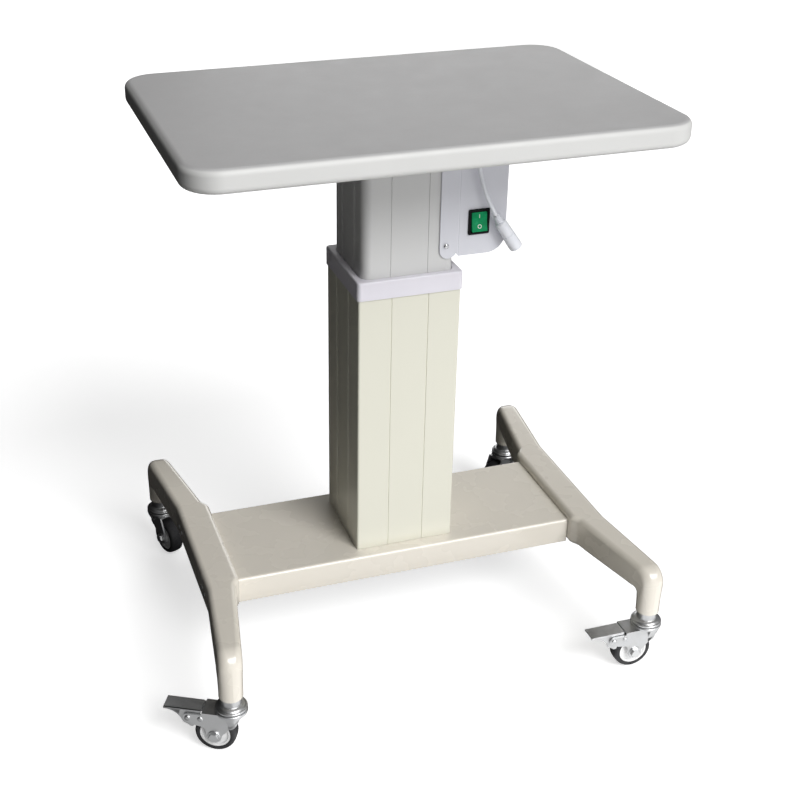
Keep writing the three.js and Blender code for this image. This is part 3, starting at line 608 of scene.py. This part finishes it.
inner_low, inner_high = low("inner_column"), high("inner_column")
outer_low, outer_high = low("outer_column"), high("outer_column")
make("inner_stage", *column_tube(114, 111, 3, 11, inner_low.z, inner_high.z), ANODISED, "lift",
     ["inner_column"])
make("outer_stage", *column_tube(128, 125, 3, 2.5, outer_low.z, outer_high.z), CREAM, "base",
     ["outer_column"])


def collar_trim():
    base, top = low("column_collar").z, high("column_collar").z
    wide, deep, edge = 132.0, 129.0, 2.2
    sizes = [(wide, deep, 5, base), (wide, deep, 5, base + 1)]
    for k in range(7):
        angle = math.radians(90 * k / 6)
        inset = edge * (1 - math.cos(angle))
        z = top - edge + edge * math.sin(angle)
        sizes.append((wide - 2 * inset, deep - 2 * inset, 5 - inset, z))
    sizes += [
        (117.2, 114.2, 12.6, top), (115.4, 112.4, 11.8, top - 0.8), (115, 112, 11.5, top - 1.6),
        (115, 112, 11.5, top - 7.5), (128.6, 125.6, 2.8, top - 7.5), (128.6, 125.6, 2.8, base),
    ]
    return moved(stack(sizes, 8, loop=True), shifted(COLUMN_X, 0, 0))


make("collar_trim", *collar_trim(), COLLAR, "base", ["column_collar"])

# ---- cross beam ----

beam_low, beam_high = low("cross_beam_cover"), high("cross_beam_cover")


def beam_shell():
    half, top, base = beam_high.y, beam_high.z, beam_low.z
    bend, sheet = 4.0, 2.0
    outline = [(half - sheet, base), (half, base)]
    outline += arc(half - bend, top - bend, bend, 0, 90)
    outline += arc(-half + bend, top - bend, bend, 90, 180)
    outline += [(-half, base), (-half + sheet, base)]
    outline += arc(-half + bend, top - bend, bend - sheet, 180, 90)
    outline += arc(half - bend, top - bend, bend - sheet, 90, 0)
    return prism(outline, beam_low.x, beam_high.x, "X")


make("beam_shell", *beam_shell(), BEIGE, "base", ["cross_beam_cover"], bevel=0.35)

# ---- feet ----

FOOT_TOP, FOOT_UNDER, FOOT_END_UNDER, SOCKET = 143.0, 100.0, 104.0, 78.0
CASTER_X, CASTER_Y = 270.0, 223.0
SOCKET_RADIUS = 14.5
FOOT_EDGE = 7.0
BEND_TOP, BEND_UNDER = 22.0, 6.0
# The arm narrows outwards from ARM_START. Nearer the middle its inner side meets the beam.
ARM_START, ARM_IN, ARM_OUT, MIDDLE_IN = 97, 232.2, 268, 225.3
STRAIGHT_TO = 110


def ease(value, start, stop):
    t = max(0.0, min(1.0, (value - start) / (stop - start)))
    return t * t * (3 - 2 * t)


def foot_sides(y):
    """Inner and outer x of the right foot at distance y from its middle."""
    share = min(max(0.0, (y - ARM_START) / (CASTER_Y - ARM_START)), 1.0)
    arm_in = ARM_IN + (CASTER_X - SOCKET_RADIUS - ARM_IN) * share
    arm_out = ARM_OUT + (CASTER_X + SOCKET_RADIUS - ARM_OUT) * share
    blend = ease(y, 85, 99)
    return MIDDLE_IN * (1 - blend) + arm_in * blend, arm_out


def foot_arm():
    """Stations (top, under, inner x, outer x, edge radius), from the middle out and down."""
    end, inside = CASTER_Y + SOCKET_RADIUS, CASTER_Y - SOCKET_RADIUS
    stations = []
    for y in (12, 30, 50, 68, 80, 84, 86, 88, 90, 92, 94, 96, 98, 100, 104, STRAIGHT_TO):
        stations.append(((y, FOOT_TOP), (y, FOOT_UNDER), *foot_sides(y), FOOT_EDGE))
    for k in range(1, 14):
        s = k / 13
        top_y = STRAIGHT_TO + s * (end - BEND_TOP - STRAIGHT_TO)
        low_y = STRAIGHT_TO + s * (inside - BEND_UNDER - STRAIGHT_TO)
        under = FOOT_UNDER + (FOOT_END_UNDER - FOOT_UNDER) * s
        stations.append(((top_y, FOOT_TOP), (low_y, under), *foot_sides((top_y + low_y) / 2),
                         FOOT_EDGE + 1.2 * s * s))
    for k in range(1, 13):
        angle = math.radians(90 * k / 12)
        c, s = math.cos(angle), math.sin(angle)
        top = (end - BEND_TOP * (1 - s), FOOT_TOP - BEND_TOP * (1 - c))
        under = (inside - BEND_UNDER * (1 - s), FOOT_END_UNDER - BEND_UNDER * (1 - c))
        middle = (top[0] + under[0]) / 2
        edge = FOOT_EDGE + 1.2 + (SOCKET_RADIUS - FOOT_EDGE - 1.3) * (k / 12)
        stations.append((top, under, *foot_sides(middle), edge))
    x0, x1 = foot_sides(CASTER_Y)
    straight_end = SOCKET + 4
    for k in range(1, 6):
        s = k / 5
        top = FOOT_TOP - BEND_TOP + (straight_end - FOOT_TOP + BEND_TOP) * s
        under = FOOT_END_UNDER - BEND_UNDER + (straight_end - FOOT_END_UNDER + BEND_UNDER) * s
        stations.append(((end, top), (inside, under), x0, x1, SOCKET_RADIUS))
    for rise, shrink in ((1.0, 0.0), (0.5, 0.25), (0.0, 1.0)):
        stations.append(((end - shrink, SOCKET + rise), (inside + shrink, SOCKET + rise),
                         x0 + shrink, x1 - shrink, SOCKET_RADIUS))
    bore = 5.3
    for z in (SOCKET, SOCKET + 31):
        stations.append(((CASTER_Y + bore, z), (CASTER_Y - bore, z),
                         CASTER_X - bore, CASTER_X + bore, bore))
    return stations


def foot_ring(station, sign):
    (top_y, top_z), (low_y, low_z), x0, x1, radius = station
    up = Vector((0, top_y - low_y, top_z - low_z))
    tall = up.length
    up.normalize()
    centre = Vector(((x0 + x1) / 2, (top_y + low_y) / 2, (top_z + low_z) / 2))
    ring = []
    for u, v in rounded(x1 - x0, tall, radius, 7):
        p = centre + Vector((u, 0, 0)) + up * v
        ring.append(Vector((p.x, sign * p.y, p.z)))
    return ring


def foot(side):
    arm = foot_arm()
    rings = [foot_ring(s, -1) for s in reversed(arm)] + [foot_ring(s, 1) for s in arm]
    part = loft(rings)
    turn = turned(180 if side < 0 else 0, "Z")
    return moved(part, shifted(COLUMN_X, 0, 0) @ turn)


for side, name in ((1, "right"), (-1, "left")):
    make(f"{name}_leg", *foot(side), BEIGE, "base", [f"{name}_foot"])
    # Low button-head screws that hold the foot to the spine, on its outer face.
    for index, y in enumerate((-79, -63, 63, 79)):
        head = lathe([(0, 0), (3.0, 0), (3.0, 0.3), (2.6, 0.9), (1.7, 1.2), (1.3, 1.25),
                      (1.3, 0.5), (0, 0.5)], 24)
        place = shifted(COLUMN_X + side * ARM_OUT, y, 120)
        place = place @ turned(90 * side, "Y")
        make(f"{name}_leg_screw_{index}", *moved(head, place), ZINC, "base")

# ---- control box ----

panel_low, panel_high = low("control_panel"), high("control_panel")


def panel_outline():
    left, right = panel_low.x, panel_high.x
    top, bottom, tab = panel_high.z, 521.0, 519.0
    tab_radius, curl = 11.0, 23.0
    points = [(left, top)]
    points += arc(left + tab_radius, tab + tab_radius, tab_radius, 180, 333, 16)
    points += [(left + 24, bottom)]
    points += arc(right - curl, bottom + curl, curl, 270, 360, 14)
    points += [(right, top)]
    return points


front_sheet = make("front_sheet", *prism(panel_outline(), panel_low.y, panel_high.y, "Y"), PANEL,
                   "lift", ["control_panel"], bevel=0.35)
crease_x = panel_low.x + 23.2
crease = prism([(crease_x - 0.6, panel_low.y - 0.2), (crease_x + 0.6, panel_low.y - 0.2),
                (crease_x, panel_low.y + 0.5)], 519, panel_high.z + 1)
switch_low, switch_high = low("power_switch_housing"), high("power_switch_housing")
switch_mid = (switch_low + switch_high) / 2
grommet_mid = (low("cord_grommet") + high("cord_grommet")) / 2


def box_part(x0, x1, y0, y1, z0, z1):
    return prism([(x0, y0), (x1, y0), (x1, y1), (x0, y1)], z0, z1)


def y_rod(x, z, radius, y0, y1, segments=24):
    return moved(lathe([(0, y0), (radius, y0), (radius, y1), (0, y1)], segments),
                 shifted(x, 0, z) @ turned(-90, "X"))


screw_x = panel_low.x + 8
SCREW_Z = (535.5, 650.0)
cut(front_sheet, crease,
    box_part(switch_mid.x - 11.6, switch_mid.x + 11.6, panel_low.y - 1, panel_high.y + 1,
             switch_mid.z - 14.1, switch_mid.z + 14.1),
    y_rod(grommet_mid.x, grommet_mid.z, 5.3, panel_low.y - 1, panel_high.y + 1),
    *[y_rod(screw_x, z, 2.3, panel_low.y - 1, panel_high.y + 1, 16) for z in SCREW_Z])

# Panel screws: domed heads with a cross recess.
for index, (z, node) in enumerate(zip(SCREW_Z, ("panel_screw_lower", "panel_screw_upper"))):
    head = [(0, -2.3), (1.9, -2.3), (1.9, 2.35), (3.4, 2.35), (3.45, 2.8), (3.1, 3.7), (2.3, 4.3),
            (1.2, 4.55), (0, 4.6)]
    place = y_axis(screw_x, panel_high.y, z)
    screw = make(f"panel_fixing_{index}", *moved(lathe(head, 32), place), CHROME, "lift",
                 [node])
    recess = place @ Matrix.Rotation(0.5, 4, "Z")
    cut(screw, moved(box_part(-1.7, 1.7, -0.32, 0.32, 3.5, 6), recess),
        moved(box_part(-0.32, 0.32, -1.7, 1.7, 3.5, 6), recess))

box_low, box_high = low("control_box_housing"), high("control_box_housing")


def box_outline(inset):
    corner = 20 - inset
    left, right = box_low.x + inset, box_high.x - inset
    bottom, top = box_low.z + inset, box_high.z - inset
    points = [(left, top), (left, bottom)]
    points += arc(right - corner, bottom + corner, corner, 270, 360, 12)
    return points + [(right, top)]


housing = make("box_shell", *prism(box_outline(0), box_low.y, box_high.y, "Y"), PANEL, "lift",
               ["control_box_housing"], bevel=0.7, steps=3)
lift_low, lift_high = low("lift_switch_housing"), high("lift_switch_housing")
lift_mid = (lift_low + lift_high) / 2
inlet_low, inlet_high = low("mains_inlet"), high("mains_inlet")
inlet_mid = (inlet_low + inlet_high) / 2
cut(housing, prism(box_outline(1.5), box_low.y - 1, box_high.y - 1.5, "Y"),
    box_part(box_high.x - 4, box_high.x + 2, lift_mid.y - 9.1, lift_mid.y + 9.1,
             lift_mid.z - 13.6, lift_mid.z + 13.6),
    box_part(inlet_mid.x - 10.6, inlet_mid.x + 10.6, box_high.y - 4, box_high.y + 2,
             inlet_mid.z - 14.6, inlet_mid.z + 14.6))


def switch_shell(width, height, body, body_height, deep, well, well_height, well_deep):
    """Bezel with a rounded edge, the body behind it, and the well the rocker sits in."""
    levels = [
        (body, body_height, 0.6, -deep), (body, body_height, 0.6, 0.0), (width, height, 1.6, 0.0),
        (width, height, 1.6, 1.2), (width - 0.5, height - 0.5, 1.5, 1.7),
        (width - 1.4, height - 1.4, 1.2, 2.0), (well + 1.2, well_height + 1.2, 0.9, 2.0),
        (well + 0.4, well_height + 0.4, 0.7, 1.6), (well, well_height, 0.6, 1.0),
        (well, well_height, 0.6, -well_deep),
    ]
    return stack(levels, 4)


front_place = y_axis(switch_mid.x, panel_low.y - 0.3, switch_mid.z)
make("main_switch", *moved(switch_shell(26.5, 31.2, 22, 27, 20, 20, 24.8, 9), front_place), BLACK,
     "lift", ["power_switch_housing"])
side_place = (shifted(box_high.x + 0.3, lift_mid.y, lift_mid.z)
              @ turned(90, "Z") @ turned(90, "X"))
make("raise_lower_switch", *moved(switch_shell(21, 30, 17, 26, 16, 14, 22.8, 8), side_place), BLACK,
     "lift", ["lift_switch_housing"])


def rocker_face(v, half):
    """How far the front of a rocker stands before its pivot, at height v."""
    return 3.6 - 1.1 * (1 - (v / half) ** 2)


def rocker_part(width, height):
    """Rocker drawn with its face towards +Z, its height along Y and its width along X."""
    half = height / 2
    heights = [half * (2 * k / 16 - 1) for k in range(17)]
    outline = [(v, rocker_face(v, half)) for v in heights]
    outline += [(half - 3, -5.0), (3.4, 0.0), (-3.4, 0.0), (-half + 3, -5.0)]
    return prism(outline, -width / 2, width / 2, "X")


def mark_line(half, long, wide, at):
    """A thin raised bar that follows the rocker's face."""
    rings = []
    for k in range(9):
        v = at - long / 2 + long * k / 8
        w = rocker_face(v, half)
        rings.append([(-wide / 2, v, w - 0.1), (wide / 2, v, w - 0.1), (wide / 2, v, w + 0.12),
                      (-wide / 2, v, w + 0.12)])
    return loft(rings)


def mark_ring(half, radius, wide, at):
    rings = []
    for k in range(32):
        angle = 2 * math.pi * k / 32
        ring = []
        for r, rise in ((radius - wide / 2, -0.1), (radius + wide / 2, -0.1),
                        (radius + wide / 2, 0.12), (radius - wide / 2, 0.12)):
            u, v = r * math.cos(angle), at + r * math.sin(angle)
            ring.append((u, v, rocker_face(v, half) + rise))
        rings.append(ring)
    return loft(rings, loop=True)


rocker_place = front_place @ turned(-8, "X")
make("power_key", *moved(rocker_part(19.2, 23.6), rocker_place), GREEN, "power_rocker",
     ["power_rocker"], bevel=0.5, steps=3)
for word, mark in (("on", mark_line(11.8, 4.4, 0.75, 6.6)), ("off", mark_ring(11.8, 2.1, 0.8, -5.6))):
    make(f"power_key_{word}_mark", *moved(mark, rocker_place), MARK, "power_rocker",
         slot="white_plastic")
make("raise_lower_key", *moved(rocker_part(13.2, 21.6), side_place), WHITE, "lift_rocker",
     ["lift_rocker"], bevel=0.5, steps=3)


def arrow(sign):
    """A small raised triangle, up or down, on the raise and lower key."""
    half = 10.8
    rings = []
    for k in range(7):
        v = sign * (4.6 + 3.6 * k / 6)
        wide = 2.2 * (1 - k / 6) + 0.06
        w = rocker_face(v, half)
        rings.append([(-wide, v, w - 0.1), (wide, v, w - 0.1),
                      (wide, v, w + 0.1), (-wide, v, w + 0.1)])
    return loft(rings)


make("raise_lower_marks", *moved(merge(arrow(1), arrow(-1)), side_place), BLACK, "lift_rocker")

grommet_profile = [
    (2.7, -3.4), (6.6, -3.4), (7, -3.0), (7, -1.3), (5.1, -1.3), (5.1, 1.3), (7, 1.3), (7, 2.4),
    (6.7, 3.2), (5.8, 4.2), (4.8, 4.6), (3.2, 4.6), (2.7, 4.2),
]
make("cord_bush", *moved(lathe(grommet_profile, 32, loop=True), y_axis(*grommet_mid[:])), WHITE,
     "lift", ["cord_grommet"])

# ---- mains inlet ----

inlet_place = shifted(inlet_mid.x, inlet_low.y + 22.0, inlet_mid.z) @ (
    turned(180, "Z") @ turned(90, "X"))
socket = stack([
    (20, 28, 1.0, -22), (20, 28, 1.0, 0), (24, 50, 4.0, 0), (24, 50, 4.0, 1.8),
    (23.2, 49.2, 3.6, 2.4), (17.2, 25.2, 2.6, 2.4), (16.4, 24.4, 2.4, 1.6), (16, 24, 2.2, -17.8),
], 6)
make("inlet_body", *moved(socket, inlet_place), BLACK, "lift", ["mains_inlet"])
pins = []
for px, pz in ((-2, -7), (-2, 7), (2, 0)):
    blade = stack([(2, 4, 0.3, -18), (2, 4, 0.3, -4.6), (1.2, 3.2, 0.3, -4)], 3)
    pins.append(moved(blade, shifted(px, pz, 0)))
make("inlet_pins", *moved(merge(*pins), inlet_place), BRASS, "lift")
for sign, word in ((1, "upper"), (-1, "lower")):
    head = moved(lathe([(0, 2.4), (2.9, 2.4), (2.9, 2.9), (2.2, 3.5), (1, 3.7), (0, 3.7)], 24),
                 inlet_place @ shifted(0, sign * 19.5, 0))
    make(f"inlet_screw_{word}", *head, ZINC, "lift")

# Screws that hold the mounting plate under the top.
plate_low, plate_high = low("top_mount_plate"), high("top_mount_plate")
for index, (sx, sy) in enumerate(((1, 1), (1, -1), (-1, 1), (-1, -1))):
    x = (plate_low.x + plate_high.x) / 2 + sx * ((plate_high.x - plate_low.x) / 2 - 12)
    y = (plate_low.y + plate_high.y) / 2 + sy * ((plate_high.y - plate_low.y) / 2 - 12)
    head = lathe([(0, 0), (4.5, 0), (4.5, -1), (3.6, -2.4), (2, -3), (0, -3.1)], 24)
    make(f"plate_screw_{index}", *moved(head, shifted(x, y, plate_low.z)), ZINC, "lift")

# ---- casters ----

TRAIL, AXLE = 19.0, 25.0
PIVOT_X, PIVOT_Z = 50.0, 48.5
POST_X, POST_Z = 34.7, 48.6
CHEEK_IN, CHEEK_OUT = 11.0, 13.2
CUP = 18.9
PEDAL_START, PEDAL_TIP, PEDAL_TOP = 35.0, 80.0, 58.0


def along_y(part):
    """Turns something drawn about Z so that it lies along Y."""
    return moved(part, turned(-90, "X"))


def caster_stem():
    """Threaded stem, bright sleeve and the upper bearing cup with its rolled rim."""
    return lathe([
        (0, 52), (8.6, 52), (9, 52.4), (9, 55), (6, 55), (6, 62.3), (18.2, 62.3), (18.8, 62.5),
        (19.1, 63.1), (19.1, 64.0), (18.7, 64.7), (17.9, 65.1), (17.3, 65.3), (16.9, 66.0),
        (16.3, 66.9), (15.2, 67.6), (14.2, 68.0), (13.1, 68.3), (12.5, 68.7), (12.2, 69.3),
        (12.1, 77.4), (11.8, 77.7), (5, 77.7), (5, 103.5), (4.4, 104), (0, 104),
    ], 48)


def fork_crown():
    """Lower bearing cup: a rolled rim over a deep drawn bowl."""
    return lathe([
        (6.4, 56.2), (17.4, 56.2), (18.4, 56.5), (19.0, 57.1), (19.3, 58), (19.4, 59.0),
        (19.2, 60.0), (18.7, 60.7), (17.8, 61.0), (6.4, 61.0),
    ], 48, loop=True)


def fork_skirt():
    """Sheet that comes down from the cup and wraps the back of the fork into its two cheeks."""
    rows, columns = 9, 25
    inner, outer = [], []
    for i in range(rows):
        t = i / (rows - 1)
        for wall, grid in ((0.0, outer), (1.9, inner)):
            ring = []
            for k in range(columns):
                angle = math.radians(82 + 196 * k / (columns - 1))
                c, s = math.cos(angle), math.sin(angle)
                drop = 3 + 17 * abs(s) ** 1.6
                swell = ease(t, 0.0, 0.75)
                x = (CUP - 6.4 * swell - wall) * c
                cheek = math.copysign(CHEEK_OUT - wall, s) * min(1, abs(s) * 1.25)
                y = (CUP - wall) * s * (1 - swell) + cheek * swell
                ring.append((x, y, 57.5 - drop * t))
            grid.append(ring)
    return grid_shell(outer, inner)


def grid_shell(outer, inner):
    rows, columns = len(outer), len(outer[0])
    verts = [p for row in outer for p in row] + [p for row in inner for p in row]
    back = rows * columns
    faces = []
    for i in range(rows - 1):
        for k in range(columns - 1):
            a, d = i * columns + k, (i + 1) * columns + k
            b, c = a + 1, d + 1
            faces.append((a, b, c, d))
            faces.append((back + d, back + c, back + b, back + a))
    for k in range(columns - 1):
        faces.append((k + 1, k, back + k, back + k + 1))
        e = (rows - 1) * columns + k
        faces.append((e, e + 1, back + e + 1, back + e))
    for i in range(rows - 1):
        a, d = i * columns, (i + 1) * columns
        faces.append((a, d, back + d, back + a))
        b, c = a + columns - 1, d + columns - 1
        faces.append((c, b, back + b, back + c))
    return verts, faces


def cheek_points(braked):
    points = [(-11.5, 57), (-11, 50)]
    points += [(TRAIL - 9.6, AXLE + 2.5)]
    points += arc(TRAIL, AXLE, 9.0, 196, 352, 14)
    if braked:
        points += [(TRAIL + 10.5, 34.5), (TRAIL + 15, 37.4), (TRAIL + 24, 39.0)]
        points += arc(PIVOT_X, PIVOT_Z, 5.6, -72, 90, 12)
        points += [(35.0, PIVOT_Z + 5.6), (33.6, PIVOT_Z + 6.2), (33.0, 57.4)]
    else:
        points += [(TRAIL + 9, 38), (TRAIL + 4, 50), (TRAIL + 1, 57.4)]
    return points


def rivet(x, z, sign, radius=3.4, rise=1.7, seat=CHEEK_OUT):
    head = lathe([(0, seat - 0.6), (radius, seat - 0.6), (radius, seat + 0.3),
                  (radius * 0.86, seat + rise * 0.6), (radius * 0.55, seat + rise * 0.92),
                  (0.4, seat + rise), (0, seat + rise)], 24)
    turn = turned(-90 * sign, "X")
    return moved(head, shifted(x, 0, z) @ turn)


def hexagon(radius, z0, z1):
    return lathe([(0, z0), (radius, z0), (radius, z1 - 0.7), (radius * 0.9, z1), (0, z1)], 6)


def axle_parts():
    shank = lathe([(0, -14), (3, -14), (3, 14), (0, 14)], 24)
    washer = lathe([(0, 13.3), (7.9, 13.3), (7.9, 14.0), (7.5, 14.4), (0, 14.4)], 32)
    end = merge(washer, hexagon(6.6, 14.2, 17.4))
    return along_y(merge(shank, end, moved(end, turned(180, "X"))))


def hub_part():
    half = 8.8
    side = [(3.4, half + 1.4), (6.4, half + 1.4), (7.2, half + 1.0), (7.6, half - 0.6),
            (8.4, half - 1.8), (14.6, half - 1.8), (15.4, half - 1.4), (15.9, half - 0.4),
            (16.6, half), (18.2, half), (18.6, half - 0.4)]
    profile = side + [(r, -z) for r, z in reversed(side)]
    return along_y(lathe(profile, 56, loop=True))


def tyre_part():
    profile = [(18.9, -9.4), (21.2, -9.5), (22.6, -9.2), (23.7, -8.2), (24.5, -6.6), (24.85, -4.4),
               (25.0, -2.2), (25.0, 2.2), (24.85, 4.4), (24.5, 6.6), (23.7, 8.2), (22.6, 9.2),
               (21.2, 9.5), (18.9, 9.4)]
    return along_y(lathe(profile, 72, loop=True))


def pedal_side():
    """Flange of the brake pedal seen from the side, about the caster's own origin."""
    points = [(PEDAL_TIP, PEDAL_TOP), (PEDAL_TIP, PEDAL_TOP - 2.4)]
    for k in range(1, 14):
        t = k / 13
        start, pull, stop = (PEDAL_TIP, PEDAL_TOP - 2.4), (63.0, 55.8), (56.5, 39.0)
        points.append(tuple((1 - t) ** 2 * p + 2 * t * (1 - t) * q + t * t * r
                            for p, q, r in zip(start, pull, stop)))
    points += [(50.5, 36.0), (47.5, 33.7), (44.5, 34.0), (43.0, 37.0), (43.5, 40.5), (40, 47.5),
               (PEDAL_START, 54.0), (PEDAL_START, PEDAL_TOP)]
    return points


def pedal_part():
    half, sheet = 10.2, 1.8
    tread = box_part(PEDAL_START, PEDAL_TIP, -half, half, PEDAL_TOP - sheet, PEDAL_TOP)
    flanges = [prism(pedal_side(), *span, "Y")
               for span in ((-half, -half + sheet), (half - sheet, half))]
    return tread, flanges


CASTERS = {
    "front_left": (-CASTER_X, -CASTER_Y, 152, True),
    "front_right": (CASTER_X, -CASTER_Y, 180, True),
    "rear_left": (-CASTER_X, CASTER_Y, -70, False),
    "rear_right": (CASTER_X, CASTER_Y, 205, False),
}
for name, (x, y, heading, braked) in CASTERS.items():
    place = shifted(x + COLUMN_X, y, 0) @ turned(heading, "Z")
    fork_body, wheel_body = f"{name}_fork", f"{name}_wheel"
    at_axle = place @ shifted(TRAIL, 0, AXLE)
    make(f"{name}_swivel_cup", *caster_stem(), ZINC, "base", [f"{name}_caster_stem"], place)
    make(f"{name}_fork_cup", *fork_crown(), ZINC, fork_body, place=place)
    reach = 33.0 if braked else TRAIL + 1
    web = box_part(0, reach, -CHEEK_OUT, CHEEK_OUT, 55.6, 57.4)
    cheeks = [prism(cheek_points(braked), *span, "Y")
              for span in ((-CHEEK_OUT, -CHEEK_IN), (CHEEK_IN, CHEEK_OUT))]
    joined(f"{name}_fork_plates", [web, *cheeks], place, ZINC, fork_body,
           [f"{name}_caster_fork"], 0.5)
    make(f"{name}_fork_skirt", *fork_skirt(), ZINC, fork_body, place=place, bevel=0.3)
    make(f"{name}_axle_bolt", *axle_parts(), ZINC, fork_body, [f"{name}_caster_axle"], at_axle)
    make(f"{name}_hub", *hub_part(), HUB, wheel_body, [f"{name}_wheel_hub"],
         at_axle)
    make(f"{name}_tread", *tyre_part(), RUBBER, wheel_body, [f"{name}_tyre"],
         at_axle)
    if not braked:
        continue
    spring_post = merge(rivet(POST_X, POST_Z, 1), rivet(POST_X, POST_Z, -1))
    make(f"{name}_spring_post", *spring_post, ZINC, fork_body, place=place)
    shank = moved(along_y(lathe([(0, -13.4), (2, -13.4), (2, 13.4), (0, 13.4)], 20)),
                  shifted(PIVOT_X, 0, PIVOT_Z))
    heads = [rivet(PIVOT_X, PIVOT_Z, sign, 3.7, 1.9, CHEEK_OUT + 0.2) for sign in (1, -1)]
    make(f"{name}_pivot_pin", *merge(*heads, shank), ZINC, fork_body, [f"{name}_pedal_pin"], place)
    tread, flanges = pedal_part()
    bar = moved(along_y(lathe([(0, -9.4), (3, -9.4), (3, 9.4), (0, 9.4)], 24)),
                shifted(PIVOT_X - 3.5, 0, PIVOT_Z - 11.5))
    joined(f"{name}_pedal", [tread, *flanges, bar], place, PEDAL, f"{name}_pedal",
           [f"{name}_brake_pedal"], 0.45)

# ---- materials of the CAD nodes that stay ----

for part in frame["record"]["subparts"]:
    node = frame["nodes"][part["node"]]
    node.data.materials.clear()
    node.data.materials.append(SLOT_MATERIAL[part["material_slot"]])

# ---- floor and light ----


def floor_material():
    p = Paint("floor_paper")
    p.color(p.ramp(p.noise(1.2, 3, 0.5), [(0.3, (0.86, 0.86, 0.86)), (0.7, (0.88, 0.88, 0.88))]))
    p.rough(p.noise(8, 3, 0.5), 0.85, 0.95)
    p.shader.inputs["Emission Color"].default_value = (1, 1, 1, 1)
    p.shader.inputs["Emission Strength"].default_value = 0.58
    return p.material


floor_mesh = bpy.data.meshes.new("floor")
floor_mesh.from_pydata([(-9, -9, 0), (9, -9, 0), (9, 9, 0), (-9, 9, 0)], [], [(0, 1, 2, 3)])
floor_mesh.materials.append(floor_material())
floor = bpy.data.objects.new("floor", floor_mesh)
bpy.context.scene.collection.objects.link(floor)
floor.visible_diffuse = False
floor.visible_glossy = False


def softbox(name, place, aim_at, width, height, power):
    data = bpy.data.lights.new(name, "AREA")
    data.shape = "RECTANGLE"
    data.size, data.size_y = width, height
    data.energy = power
    light = bpy.data.objects.new(name, data)
    bpy.context.scene.collection.objects.link(light)
    light.location = place
    light.rotation_euler = (Vector(aim_at) - Vector(place)).to_track_quat("-Z", "Y").to_euler()
    return light


# A broad key from the front right, and a small lamp that gives the gloss paint its highlights.
sun = bpy.data.lights.new("key", "SUN")
sun.energy = 2.2
sun.angle = math.radians(32)
key = bpy.data.objects.new("key", sun)
bpy.context.scene.collection.objects.link(key)
key.rotation_euler = Vector((-0.28, 0.70, -0.66)).to_track_quat("-Z", "Y").to_euler()
highlight = softbox("highlight", (0.55, -2.7, 1.75), (0.03, 0, 0.3), 0.3, 0.22, 7)
highlight.visible_diffuse = False
# Weak fills from low in front and from behind.
softbox("low_front", (0.6, -2.7, 0.6), (0.03, 0, 0.35), 2.0, 0.9, 10)
softbox("back_fill", (1.2, 2.6, 0.9), (0.03, 0, 0.4), 1.8, 1.0, 13)
# Light that the pale floor in front throws back up, weaker on the left.
for name, x, width, power in (("floor_bounce", 0.63, 1.74, 7.0),
                              ("floor_bounce_left", -0.47, 0.46, 0.8)):
    bounce = softbox(name, (x, -0.78, 0.004), (x, -0.78, 1.0), width, 1.12, power)
    bounce.visible_camera = False

# The surroundings are brighter in front, above and on the right than behind on the left.
world = bpy.data.worlds.new("world")
bpy.context.scene.world = world
world.use_nodes = True
sky = world.node_tree
background = sky.nodes["Background"]
direction = sky.nodes.new("ShaderNodeTexCoord").outputs["Generated"]
towards = sky.nodes.new("ShaderNodeVectorMath")
towards.operation = "DOT_PRODUCT"
towards.inputs[1].default_value = (0.55, -0.52, 0.64)
sky.links.new(direction, towards.inputs[0])
level = sky.nodes.new("ShaderNodeMapRange")
for key_name, number in zip(("From Min", "From Max", "To Min", "To Max"), (0.02, 0.9, 0.01, 0.28)):
    level.inputs[key_name].default_value = number
sky.links.new(towards.outputs["Value"], level.inputs["Value"])
# What the camera sees past the floor is plain pale paper.
seen = sky.nodes.new("ShaderNodeMix")
seen.inputs["B"].default_value = 1.1
sky.links.new(sky.nodes.new("ShaderNodeLightPath").outputs["Is Camera Ray"], seen.inputs["Factor"])
sky.links.new(level.outputs["Result"], seen.inputs["A"])
sky.links.new(seen.outputs["Result"], background.inputs["Strength"])
background.inputs["Color"].default_value = (1, 1, 1, 1)
bpy.context.scene.view_settings.view_transform = "Standard"
